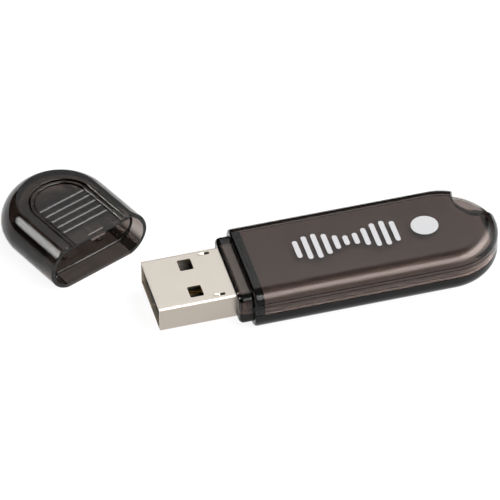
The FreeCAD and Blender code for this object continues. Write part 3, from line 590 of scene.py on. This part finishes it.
# %% Cap and its pad
CAP_MOUTH, CAP_CENTRE = -21.1, -31.55
CAP_WALL, MOUTH_WALL, MOUTH_DEPTH, MOUTH_ROUNDING = 1.15, 0.7, 2.8, 0.12
CAP_HALF, CAP_BOTTOM, CAP_TOP = 9.45, -0.275, 7.975
CAP_UPRIGHT, CAP_UPPER_SHARE = 0.65, 0.5263         # the straight side, and the shoulder's share of the rest
CAP_ROUNDED = CAP_TOP - CAP_BOTTOM - CAP_UPRIGHT
CAP_SHOULDER = (2.55, CAP_ROUNDED * CAP_UPPER_SHARE, 0.545)
CAP_UNDER = (3.2, CAP_ROUNDED * (1 - CAP_UPPER_SHARE), 0.74)
CAP = (CAP_HALF, CAP_BOTTOM, CAP_TOP, CAP_SHOULDER, CAP_UNDER)
PAD_HALF, PAD_LENGTH, PAD_DEPTH, PAD_BRIM, PAD_SIDES = 5.5, 14.95, 0.3, 0.02, 96
PAD_PAST_MOUTH = 3.0
OUTER_GROOVE = ((0.08, 0.08), (0.06, 0.22), (0.26, -0.15))      # each step inwards and down
INNER_GROOVE = ((0.08, 0.08), (0.04, 0.14), (0.16, -0.09))
PAD_STRIP = (0.38, 0.0)


def pad_cutter():
    """An arch-ended prism whose foot is inset and drawn down in steps."""
    centre, brim = CAP_MOUTH - PAD_LENGTH + PAD_HALF, CAP_TOP - PAD_BRIM
    arch = rod("pad", centre, 0, PAD_HALF, brim, CAP_TOP + PAST, PAD_SIDES)
    join(arch, block("pad_run", centre, CAP_MOUTH + PAD_PAST_MOUTH, -PAD_HALF, PAD_HALF, brim,
                     CAP_TOP + PAST))
    edit(arch, "FACE")
    choose(arch, lambda place: abs(place.z - brim) < NEAR, "polygons")
    bpy.ops.mesh.dissolve_faces()
    for inwards, down in (*OUTER_GROOVE, PAD_STRIP, *INNER_GROOVE):
        bpy.ops.mesh.inset(thickness=inwards * MM, depth=down * MM)
    bpy.ops.object.mode_set(mode="OBJECT")
    return arch


cap = swept("smoke_cap", CAP, CAP_MOUTH, CAP_CENTRE, rim=MOUTH_ROUNDING)
cut(cap, pad_cutter())
print("cap", round(CAP_TOP - CAP_BOTTOM, 2), "mm high")

# %% [markdown]
# Inside, the cap is wide at the mouth, narrower behind the step, and has a bay for the plug, six guides
# that hold it and a nub that clicks over the collar. A Solidify modifier would give an even wall, and
# this one isn't: so the rooms are cut one by one. The cap is made in the place where it sits on the
# stick, and only then turned and laid beside it.

# %% Inside of the cap
STEP_OVERLAP, CLOSED_END, STEP_FLARE = 0.005, 0.35, 0.4         # CLOSED_END: extra wall at the round end
ROOM_GAP = 0.15
GUIDE_FRONT, GUIDE_LENGTH, GUIDE_NEAR, GUIDE_FAR, GUIDE_HALF = CAP_MOUTH - 4.4, 9.5, 3.0, 3.8, 0.4
GUIDE_TOP, GUIDE_FLOOR, GUIDE_SIDE = 7.1, 0.3, 8.825            # their roots, inside the cap's wall
NUB_LENGTH, NUB_HALF = 1.0, 1.45
CAP_PLACE, CAP_TURN = (-40.92, 12.1), math.radians(-66.6)


def lay_down(thing):
    """From the place on the stick to the place beside it."""
    put(thing, (-CAP_MOUTH, 0, -CAP_BOTTOM))
    return put(thing, (*CAP_PLACE, 0), CAP_TURN)


mouth = swept("mouth", CAP, CAP_MOUTH + MOUTH_DEPTH, CAP_CENTRE, MOUTH_WALL)
keep(mouth, block("mouth_part", CAP_MOUTH - MOUTH_DEPTH, FAR, -FAR, FAR, -FAR, FAR))
deep = swept("deep_hollow", CAP, CAP_MOUTH - MOUTH_DEPTH + STEP_OVERLAP, CAP_CENTRE + CLOSED_END, CAP_WALL,
             rim=-STEP_FLARE)
plug_room = bar("plug_room", PLUG_TIP - ROOM_GAP, CAP_MOUTH + 1, PLUG_HALF + ROOM_GAP,
                PLUG_FLOOR - ROOM_GAP, PLUG_TOP + ROOM_GAP, PLUG_BEND + ROOM_GAP)
cut(cap, mouth, deep, plug_room)
flat_sides, upright_sides = on_both_sides(GUIDE_NEAR, GUIDE_FAR), on_both_sides(PLUG_HALF + GAP, GUIDE_SIDE)
for flat, upright in zip(flat_sides, upright_sides):
    for sides, z0, z1 in ((flat, PLUG_TOP + GAP, GUIDE_TOP), (flat, GUIDE_FLOOR, PLUG_FLOOR - GAP),
                          (upright, PLUG_MID - GUIDE_HALF, PLUG_MID + GUIDE_HALF)):
        join(cap, block("guide", GUIDE_FRONT - GUIDE_LENGTH, GUIDE_FRONT, *sides, z0, z1))
join(cap, block("nub", CAP_MOUTH - NUB_LENGTH, CAP_MOUTH - OVERLAP, -NUB_HALF, NUB_HALF, COLLAR_TOP + GAP,
                CAP_TOP - MOUTH_WALL + GAP))
finished(lay_down(cap), "cap", "smoke_cap", "cap")

# %% [markdown]
# Five ribs lie across the pad, so that a thumb holds on, and each has fine rings like a file. The rings
# could be a bump, but they should be there in the mesh too. A zigzag is drawn along the rib and spun
# round it. One rib is modelled and then copied.

# %% Grip ribs
RIBS, RIB_FIRST, RIB_PITCH, RIB_LENGTH, RIB_RADIUS, RIB_RISE = 5, 3.6, 1.55, 8.6, 0.24, 0.2
RING_PITCH, RING_NOTCH, RIB_SPIN_STEPS = 0.2, 0.05, 18


def knurled_rib(x):
    """A rod across the pad with fine rings."""
    axis = CAP_TOP - PAD_DEPTH - (RIB_RADIUS - RIB_RISE)
    half, crest = RIB_LENGTH / 2, axis + RIB_RADIUS
    place = (-half, axis)
    rib = start_drawing("rib", x, place)
    outline = [(-half, crest - RING_NOTCH)]
    for ring in range(round(RIB_LENGTH / RING_PITCH)):
        y = -half + ring * RING_PITCH
        outline += [(y + RING_PITCH / 4, crest), (y + RING_PITCH * 3 / 4, crest),
                    (y + RING_PITCH, crest - RING_NOTCH)]
    outline.append((half, axis))
    for corner in outline:
        draw_to(place, corner)
        place = corner
    bpy.ops.mesh.select_all(action="SELECT")
    bpy.ops.mesh.spin(steps=RIB_SPIN_STEPS, angle=2 * math.pi, center=(x * MM, 0, axis * MM), axis=(0, 1, 0))
    return settle(rib)


rib = knurled_rib(CAP_MOUTH - RIB_FIRST)
ribs = [put(copied(rib, "grip_rib_%d" % (row + 1)), (-row * RIB_PITCH, 0, 0)) for row in range(RIBS)]
bpy.data.objects.remove(rib)
for rib in ribs:
    finished(lay_down(rib), "cap", "smoke_cap")

# %% [markdown]
# A finish is a small graph of nodes. It could be wired by hand, link by link, but written as sums it is
# easy to read. So one class wraps a socket and turns +, -, * and / into Math nodes, and one method adds
# any other node.

# %% Sockets that add up
MIX_FIRST, MIX_SECOND, MIX_COLOUR = 6, 7, 2         # the colour sockets of a Mix node


class Wire:
    """One output socket. Arithmetic on it adds Math nodes."""

    def __init__(self, graph, socket):
        self.graph, self.socket = graph, socket

    def math(self, operation, *operands):
        return self.graph.node("Math", {"operation": operation}, dict(enumerate(operands)))

    def through(self, operation, *others):
        """A Math node with this wire first, such as ABSOLUTE or MAXIMUM."""
        return self.math(operation, self, *others)

    def __add__(self, other):
        return self.math("ADD", self, other)

    def __sub__(self, other):
        return self.math("SUBTRACT", self, other)

    def __rsub__(self, other):
        return self.math("SUBTRACT", other, self)

    def __mul__(self, other):
        return self.math("MULTIPLY", self, other)

    def __truediv__(self, other):
        return self.math("DIVIDE", self, other)

    __radd__, __rmul__ = __add__, __mul__

    def ramp(self, low, high):
        """0 below low, 1 above high, and a smooth step between them."""
        return self.graph.node("MapRange", {"interpolation_type": "SMOOTHSTEP"},
                               {"Value": self, "From Min": low, "From Max": high})


class Graph:
    """A node tree, and the nodes that are added to it."""

    def __init__(self, tree):
        self.tree = tree

    def node(self, kind, settings=None, sockets=None, output=0):
        """Any node: its settings first, then the values or wires of its sockets."""
        node = self.tree.nodes.new("ShaderNode" + kind)
        for key, value in (settings or {}).items():
            setattr(node, key, value)
        for key, value in (sockets or {}).items():
            if isinstance(value, Wire):
                self.tree.links.new(value.socket, node.inputs[key])
            else:
                node.inputs[key].default_value = value
        return Wire(self, node.outputs[output])

    def mix(self, share, first, second):
        """A colour between two, each of them a wire or (red, green, blue)."""
        first, second = (value if isinstance(value, Wire) else (*value, 1) for value in (first, second))
        sockets = {"Factor": share, MIX_FIRST: first, MIX_SECOND: second}
        return self.node("Mix", {"data_type": "RGBA"}, sockets, output=MIX_COLOUR)


print("sockets add up")

# %% [markdown]
# Every finish here starts from the Principled shader. It reads the place of a point on the piece, in
# millimetres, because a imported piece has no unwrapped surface, and a pattern on its place needs none.
# Noise of a size in millimetres makes the small unevenness that each real surface has.

# %% A finish
class Finish(Graph):
    """A material with its Principled shader, and the nodes that feed it."""

    def __init__(self, name, **constants):
        self.material = bpy.data.materials.new(name)
        self.material.use_nodes = True
        super().__init__(self.material.node_tree)
        self.shader = self.tree.nodes["Principled BSDF"]
        self.output = self.tree.nodes["Material Output"]
        self.set(self.shader, constants)

    def set(self, shader, constants):
        for socket, value in constants.items():
            shader.inputs[socket.replace("_", " ")].default_value = value

    def along(self, axis):
        """Where a point is along X, Y or Z, in millimetres."""
        place = self.node("TexCoord", output="Object")
        return self.node("SeparateXYZ", sockets={"Vector": place}, output=axis) / MM

    def noise(self, size_mm, detail=2.0, stretch=(1, 1, 1)):
        """Cloudy noise with lumps of about this size, from 0 to 1."""
        place = self.node("TexCoord", output="Object")
        spot = self.node("Mapping", sockets={"Vector": place, "Scale": stretch})
        return self.node("TexNoise", sockets={"Vector": spot, "Scale": 1 / (size_mm * MM), "Detail": detail})

    def feed(self, socket, wire):
        self.tree.links.new(wire.socket, self.shader.inputs[socket])
        return self

    def bump(self, height, depth_mm, strength=1.0):
        """Fine relief: height is 0 to 1, and depth is what 1 stands for."""
        sockets = {"Height": height, "Distance": depth_mm * MM, "Strength": strength}
        return self.feed("Normal", self.node("Bump", sockets=sockets))

    def absorb(self, colour, density):
        """Light is lost on its way through the piece, more where it is thick."""
        volume = self.node("VolumeAbsorption", sockets={"Color": (*colour, 1), "Density": density})
        self.tree.links.new(volume.socket, self.output.inputs["Volume"])
        return self

    def ink(self, mask, **constants):
        """Opaque print where the mask is 1, laid over the finish."""
        print_shader = self.tree.nodes.new("ShaderNodeBsdfPrincipled")
        self.set(print_shader, constants)
        mixed = self.node("MixShader", sockets={"Fac": mask})
        both = mixed.socket.node
        self.tree.links.new(self.shader.outputs[0], both.inputs[1])
        self.tree.links.new(print_shader.outputs[0], both.inputs[2])
        self.tree.links.new(mixed.socket, self.output.inputs["Surface"])
        return self


def coat(finish, *things):
    """Put a finish on pieces or carried-over nodes."""
    for thing in things:
        if not thing.material_slots:
            thing.data.materials.append(finish.material)
        for slot in thing.material_slots:
            slot.material = finish.material


print("a finish is ready to be mixed")

# %% [markdown]
# Clear smoke plastic is glass with a tint. The tint could be the surface's colour, but it sits in the
# plastic, so a thick edge is darker than a thin wall: that is absorption. Two places are painted near
# black in the tint, as painted shade: the end of the front wall and the tip of the tail. A moulded
# surface is never quite even, so a faint cloud changes the roughness.

# %% Upper shell: clear smoke
SOFT_MIRROR = (0.5, 0.5, 0.5, 1.0)                  # tints the mirror image of what is straight ahead
PLASTIC_IOR = 1.49
CLEAR_LOW, CLEAR_HIGH = (0.95, 0.94, 0.93), (0.98, 0.97, 0.96)
FRONT_SHADE_STARTS, FRONT_SHADE_ENDS = (FRONT - 0.02, FRONT + 0.08), (FRONT + 0.7, FRONT + 0.95)
TAIL_SHADE_STARTS = (TAIL_CENTRE + 7.5, TAIL_CENTRE + 8.3)


def moulded_gloss(finish, low, high):
    cloud = finish.noise(6.0, detail=3.0)
    return finish.feed("Roughness", cloud.ramp(0.3, 0.7) * (high - low) + low)


smoke_upper = Finish("smoke_upper", Transmission_Weight=1.0, IOR=PLASTIC_IOR, Specular_Tint=SOFT_MIRROR)
clear = smoke_upper.mix(smoke_upper.noise(8.0, detail=3.0), CLEAR_LOW, CLEAR_HIGH)
x, y, z = (smoke_upper.along(axis) for axis in "XYZ")
# painted shade: the end of the front wall and the tip of the tail are tinted near black
painted_shade_ends = x.ramp(*FRONT_SHADE_STARTS) * (1 - x.ramp(*FRONT_SHADE_ENDS)) + x.ramp(*TAIL_SHADE_STARTS)
smoke_upper.feed("Base Color", smoke_upper.mix(painted_shade_ends, clear, (0.07, 0.066, 0.062)))
smoke_upper.absorb((0.421, 0.344, 0.313), 1350)
moulded_gloss(smoke_upper, 0.02, 0.05)
print(smoke_upper.material.name, len(smoke_upper.tree.nodes), "nodes")

# %% [markdown]
# The top face carries a white pad print: a row of bars whose height rises and falls like a wave, and a
# disc. It could be a picture laid on the face, but sums of the place need no picture and stay sharp. A
# bar is all that lies within its radius of a short upright line, and the ink is a second shader, mixed
# in where the mask is 1.

# %% White print on the top face
PRINT_START, PRINT_END, BAR_PITCH, BAR_RADIUS, INK_EDGE = -12.5, 5.1, 1.6, 0.42, 0.03
WAVE_STEP, WAVE_SWING, WAVE_MIDDLE = 0.9, 0.9, 1.6
DISC_AT, DISC_RADIUS = 9.2, 2.2
PRINT_DEPTH = 0.02


def distance_to(across, up):
    return (across * across + up * up).through("SQRT")


def within(distance, radius):
    return 1 - distance.ramp(radius - INK_EDGE, radius + INK_EDGE)


place = (x - PRINT_START) / BAR_PITCH
row = place.through("FLOOR")
reach = (row * WAVE_STEP).through("SINE") * WAVE_SWING + WAVE_MIDDLE
beyond = (y.through("ABSOLUTE") - reach).through("MAXIMUM", 0.0)
bars = within(distance_to((place - row - 0.5) * BAR_PITCH, beyond), BAR_RADIUS)
bars = bars * x.through("GREATER_THAN", PRINT_START) * x.through("LESS_THAN", PRINT_END)
disc = within(distance_to(x - DISC_AT, y), DISC_RADIUS)
on_top = z.through("GREATER_THAN", BODY_TOP - PRINT_DEPTH)
smoke_upper.ink((bars + disc) * on_top, Base_Color=(0.37, 0.37, 0.375, 1), Roughness=0.45)
coat(smoke_upper, upper_shell)
print(round((PRINT_END - PRINT_START) / BAR_PITCH), "bars and a disc")

# %% [markdown]
# The cap's smoke is denser. Its lower side, seen through the whole cap, is painted almost black in the
# tint, as painted shade for the dark floor under the cap. Its ribs are frosted, as a tool marked with a
# file leaves them: no light goes through, and they shine along their crests. The lower shell is so dense
# that nothing shows through, so plain dark plastic does for it.

# %% Cap, ribs and lower shell
# painted shade: below these heights the cap's tint is near black, for the dark floor under it
PAINTED_SHADE_BELOW = (1.3, 2.6)                            # heights between which the cap turns clear

smoke_cap = Finish("smoke_cap", Transmission_Weight=1.0, IOR=PLASTIC_IOR, Specular_Tint=SOFT_MIRROR)
clear = smoke_cap.mix(smoke_cap.noise(9.0, stretch=(1, 0.4, 1)), CLEAR_LOW, CLEAR_HIGH)
# painted shade on the cap's underside, fading out upwards
above_painted_shade = smoke_cap.along("Z").ramp(*PAINTED_SHADE_BELOW)
smoke_cap.feed("Base Color", smoke_cap.mix(above_painted_shade, (0.03, 0.027, 0.025), clear))
smoke_cap.absorb((0.36, 0.28, 0.24), 2000)
moulded_gloss(smoke_cap, 0.02, 0.05)
coat(smoke_cap, cap)

frosted = Finish("frosted_smoke", IOR=PLASTIC_IOR, Specular_IOR_Level=1.0)
cloud = frosted.noise(1.5, detail=3.0)
frosted.feed("Base Color", frosted.mix(cloud, (0.016, 0.0148, 0.014), (0.026, 0.0245, 0.023)))
frosted.feed("Roughness", cloud * 0.1 + 0.19)
coat(frosted, *ribs)

smoke_lower = Finish("smoke_lower", IOR=PLASTIC_IOR, Specular_IOR_Level=0.12)
cloud = smoke_lower.noise(5.0, detail=3.0)
smoke_lower.feed("Base Color", smoke_lower.mix(cloud, (0.006, 0.006, 0.006), (0.011, 0.0105, 0.01)))
moulded_gloss(smoke_lower, 0.12, 0.2)
coat(smoke_lower, lower_shell)
print("smoke on", 2 + len(ribs), "pieces")

# %% [markdown]
# The lining is metallised in a vacuum: a thin metal film, tinted bronze. A mirror would be too sharp and
# a paint too dull, so it is metal with a wide satin highlight and a fine grain. Towards the tip of the
# tail, above the ledge, the lining is painted near black, as painted shade.

# %% Bronze lining's finish
TAIL_SHADE_X, TAIL_SHADE_Z = (TAIL_CENTRE + 6.2, TAIL_CENTRE + 6.7), (LEDGE, LEDGE + 0.3)

bronze = Finish("bronze_lining", Metallic=0.9)
grain = bronze.noise(0.12, detail=2.0)
film = bronze.mix(bronze.noise(7.0, detail=3.0), (0.65, 0.59, 0.57), (0.71, 0.645, 0.62))
tail_shade = bronze.along("X").ramp(*TAIL_SHADE_X) * bronze.along("Z").ramp(*TAIL_SHADE_Z)
# painted shade: towards the tip of the tail, above the ledge, the lining is near black
bronze.feed("Base Color", bronze.mix(tail_shade, film, (0.04, 0.036, 0.033)))
bronze.feed("Roughness", grain * 0.04 + 0.53)
bronze.bump(grain, 0.0003, 0.4)
coat(bronze, lining)
print(bronze.material.name, len(bronze.tree.nodes), "nodes")

# %% [markdown]
# The plug is nickel-plated sheet steel, rolled before it is plated: a very fine grain runs along it, so
# reflections smear across the grain. The plating is duller at the bends. The drawn sides are painted
# darker, as painted shade, and the steel that goes on inside the collar and the body is painted darker
# still, as painted shade. Anisotropy could smear the highlight too, but the grain does it with fewer knobs.

# %% Plated steel
SIDE, BEND_Y = (PLUG_HALF - 0.2, PLUG_HALF - 0.05), (PLUG_HALF - 0.5, PLUG_HALF - 0.25)
BEND_Z = (PLUG_TOP - 0.5, PLUG_TOP - 0.25)
IN_COLLAR, PAST_COLLAR_EDGE = (COLLAR_FRONT, COLLAR_FRONT + 0.15), (COLLAR_FRONT + 0.6, COLLAR_FRONT + 0.9)
IN_BODY = (FRONT - 0.2, FRONT)

steel = Finish("plated_steel", Metallic=1.0)
rolled = steel.noise(0.5, detail=4.0, stretch=(0.04, 1, 1))
x, from_middle, z = steel.along("X"), steel.along("Y").through("ABSOLUTE"), steel.along("Z")
bright = steel.mix(steel.noise(4.0, detail=3.0), (0.90, 0.83, 0.74), (0.94, 0.87, 0.77))
# painted shade: the drawn sides are darker, for the dimmer floor that they mirror
bright = steel.mix(from_middle.ramp(*SIDE), bright, (0.42, 0.375, 0.33))
# painted shade on the steel inside the collar, darkest just behind its front edge
painted_collar_shade = steel.mix(x.ramp(*PAST_COLLAR_EDGE), (0.28, 0.26, 0.235), (0.37, 0.345, 0.31))
with_painted_shade = steel.mix(x.ramp(*IN_COLLAR), bright, painted_collar_shade)
# painted shade: inside the body the steel is near black
steel.feed("Base Color", steel.mix(x.ramp(*IN_BODY), with_painted_shade, (0.03, 0.027, 0.025)))
bend = from_middle.ramp(*BEND_Y) * z.ramp(*BEND_Z)
steel.feed("Roughness", rolled * 0.08 + bend * 0.2 + 0.26)
steel.bump(rolled, 0.0006, 0.5)
coat(steel, plug, *tabs)
print(steel.material.name, len(steel.tree.nodes), "nodes")

# %% [markdown]
# The other metals are small: gold contacts with the fine marks of many pushes, tinned leads, and the
# crystal's nickel can. They differ in colour, in roughness and in the size of their cloud, so one
# function makes all three.

# %% Small metals
def small_metal(name, size_mm, dark, light, swing, rough, stretch=(1, 1, 1)):
    finish = Finish(name, Metallic=1.0)
    cloud = finish.noise(size_mm, detail=3.0, stretch=stretch)
    finish.feed("Base Color", finish.mix(cloud, dark, light))
    return finish.feed("Roughness", cloud * swing + rough)


gold = small_metal("gold_contact", 0.4, (0.83, 0.6, 0.26), (0.9, 0.68, 0.33), 0.1, 0.22, (0.05, 1, 1))
coat(gold, *[NODES[name] for name in NODES if name.startswith("contact_")])
tinned = small_metal("tinned_lead", 0.3, (0.62, 0.62, 0.6), (0.75, 0.75, 0.73), 0.15, 0.3)
coat(tinned, NODES["controller_pins"])
nickel = small_metal("nickel_can", 1.2, (0.64, 0.61, 0.56), (0.7, 0.67, 0.62), 0.1, 0.2)
coat(nickel, NODES["crystal"])
print("three small metals")

# %% [markdown]
# The tongue and the board's parts are hidden deep inside, and the tongue is seen through the windows. A
# single dark colour would do for most, but each still gets its own plastic or ceramic, with a fine cloud
# and a fine relief.

# %% Tongue, board and parts
MOULDINGS = (       # name, dark, light, roughness, grain and relief in millimetres, nodes
    ("black_plastic", (0.010, 0.010, 0.010), (0.016, 0.016, 0.016), 0.38, 0.15, 0.003, ("plug_tongue",)),
    ("board_mask", (0.01, 0.09, 0.035), (0.02, 0.14, 0.06), 0.25, 0.4, 0.004, ("circuit_board",)),
    ("chip_plastic", (0.018, 0.018, 0.02), (0.03, 0.03, 0.032), 0.5, 0.1, 0.004,
     ("controller_chip", "surge_diodes", "voltage_regulator")),
    ("tan_ceramic", (0.42, 0.3, 0.18), (0.54, 0.4, 0.25), 0.5, 0.1, 0.003,
     ("load_capacitors", "decoupling_capacitors")),
    ("resistor_black", (0.02, 0.02, 0.02), (0.04, 0.04, 0.04), 0.35, 0.1, 0.002,
     ("pull_up_resistor", "data_resistors")),
    ("fuse_polymer", (0.03, 0.16, 0.08), (0.05, 0.24, 0.12), 0.45, 0.1, 0.003, ("fuse",)),
)
CLOUD_GRAINS = 8        # how many grains wide a cloud is

for name, dark, light, rough, grain_mm, relief_mm, nodes in MOULDINGS:
    moulding = Finish(name)
    cloud = moulding.noise(grain_mm * CLOUD_GRAINS, detail=3.0)
    moulding.feed("Base Color", moulding.mix(cloud, dark, light))
    moulding.feed("Roughness", cloud * 0.1 + rough)
    moulding.bump(moulding.noise(grain_mm), relief_mm)
    coat(moulding, *[NODES[node] for node in nodes])
print(len(bpy.data.materials), "finishes")

# %% [markdown]
# The floor is a sheet of white paper. Lit by the sky alone, it would go grey at its far end, so most of
# its white is a glow of its own. The rest comes from the sky and leaves a faint shadow under the pieces.

# %% Floor
pick()
bpy.ops.mesh.primitive_plane_add(size=6)
floor = named(bpy.context.active_object, "floor")
paper = Finish("floor_paper", Roughness=0.9, Specular_IOR_Level=0.0, Emission_Strength=0.88,
               Emission_Color=(1, 1, 1, 1))
paper.feed("Base Color", paper.mix(paper.noise(60.0), (0.14, 0.14, 0.14), (0.15, 0.15, 0.15)))
coat(paper, floor)
print("floor", floor.dimensions.x, "m wide")

# %% [markdown]
# Glossy plastic shows its surroundings, so the light is painted on the sky rather than hung in the room
# as lamps: all of it is then in the right place for every reflection. There is a large umbrella on the
# near side, which draws the long highlight, a plain panel behind, a dim ceiling that keeps the top of
# the shoulder deep, and one small spot on the left for the cap. Each patch has soft edges.

# %% Sky of the studio
UMBRELLA, UMBRELLA_SPREAD, UMBRELLA_FULL = (-28, 31), 66, 5         # azimuth and elevation, then degrees
SKIRT, CROWN = (0.34, 0.54), (0.78, 0.92)                           # heights, from 0 to 1 overhead
UMBRELLA_LIGHT, SKIRT_LIGHT = 7.5, 2.3
SPOT, SPOT_SPREAD, SPOT_FULL, SPOT_LIGHT = (160, 27), 13, 2, 14
PANEL_FOOT, CEILING = (0.60, 0.70), (0.72, 0.80)
PANEL_BACK, PANEL_LEFT, PANEL_RIGHT = (0.1, 0.4), (-0.15, 0.1), (0.45, 0.65)
PANEL_LIGHT, CEILING_LIGHT, ROOM_LIGHT = 1.6, 0.3, 0.05

world = bpy.data.worlds.new("studio")
bpy.context.scene.world = world
world.use_nodes = True
sky = Graph(world.node_tree)
direction = sky.node("TexCoord", output="Generated")


def glow(compass, spread, full):
    """A soft-edged patch of light in the sky: spread and full are angles in degrees from its middle."""
    azimuth, elevation = (math.radians(degrees) for degrees in compass)
    axis = Vector((math.cos(azimuth) * math.cos(elevation), math.sin(azimuth) * math.cos(elevation),
                   math.sin(elevation)))
    near = sky.node("VectorMath", {"operation": "DOT_PRODUCT"}, {0: direction, 1: axis}, output="Value")
    return near.ramp(math.cos(math.radians(spread)), math.cos(math.radians(full)))


sideways, backwards, upwards = (sky.node("SeparateXYZ", sockets={"Vector": direction}, output=axis)
                                for axis in "XYZ")
ceiling = upwards.ramp(*CEILING)
panel = upwards.ramp(*PANEL_FOOT) * (1 - ceiling) * backwards.ramp(*PANEL_BACK)
panel = panel * sideways.ramp(*PANEL_LEFT) * (1 - sideways.ramp(*PANEL_RIGHT))
umbrella = glow(UMBRELLA, UMBRELLA_SPREAD, UMBRELLA_FULL) * (1 - upwards.ramp(*CROWN))
umbrella = umbrella * (upwards.ramp(*SKIRT) * UMBRELLA_LIGHT + SKIRT_LIGHT)
spot = glow(SPOT, SPOT_SPREAD, SPOT_FULL) * SPOT_LIGHT
brightness = panel * PANEL_LIGHT + ceiling * CEILING_LIGHT + umbrella + spot + ROOM_LIGHT
background = world.node_tree.nodes["Background"]
background.inputs["Color"].default_value = (1, 1, 1, 1)
sky.tree.links.new(brightness.socket, background.inputs["Strength"])
print("umbrella, panel, ceiling and spot")

# %% [markdown]
# The camera is far away with a long lens, so the stick's long edges stay almost parallel. Its place is
# given as a direction, a height and a distance from a point on the object, with a slight tilt. A Track To
# constraint could aim it, but a matrix of its own axes also holds the tilt.

# %% Camera
AZIMUTH, ELEVATION, ROLL = (math.radians(degrees) for degrees in (14.526, 41.978, -0.978))
DISTANCE, TARGET = 0.779745, Vector((-0.01779, 0.00618, 0.00375))
PIXELS, FOCAL_PIXELS, SENSOR = 500, 4913.1, 36.0

forward = Vector((math.sin(AZIMUTH) * math.cos(ELEVATION), math.cos(AZIMUTH) * math.cos(ELEVATION),
                  -math.sin(ELEVATION)))
right = Vector((math.cos(AZIMUTH), -math.sin(AZIMUTH), 0))
up = right.cross(forward)
tilted_right = right * math.cos(ROLL) + up * math.sin(ROLL)
tilted_up = up * math.cos(ROLL) - right * math.sin(ROLL)
camera = bpy.data.objects.new("camera", bpy.data.cameras.new("camera"))
bpy.context.scene.collection.objects.link(camera)
camera.data.sensor_width = SENSOR
camera.data.lens = FOCAL_PIXELS / PIXELS * SENSOR
camera.data.clip_start, camera.data.clip_end = 0.01, 20
camera.matrix_world = Matrix((tilted_right, tilted_up, -forward)).transposed().to_4x4()
camera.matrix_world.translation = TARGET - forward * DISTANCE
bpy.context.scene.camera = camera
bpy.context.scene.view_settings.view_transform = "Standard"
print("camera", round(DISTANCE / MM), "mm away")
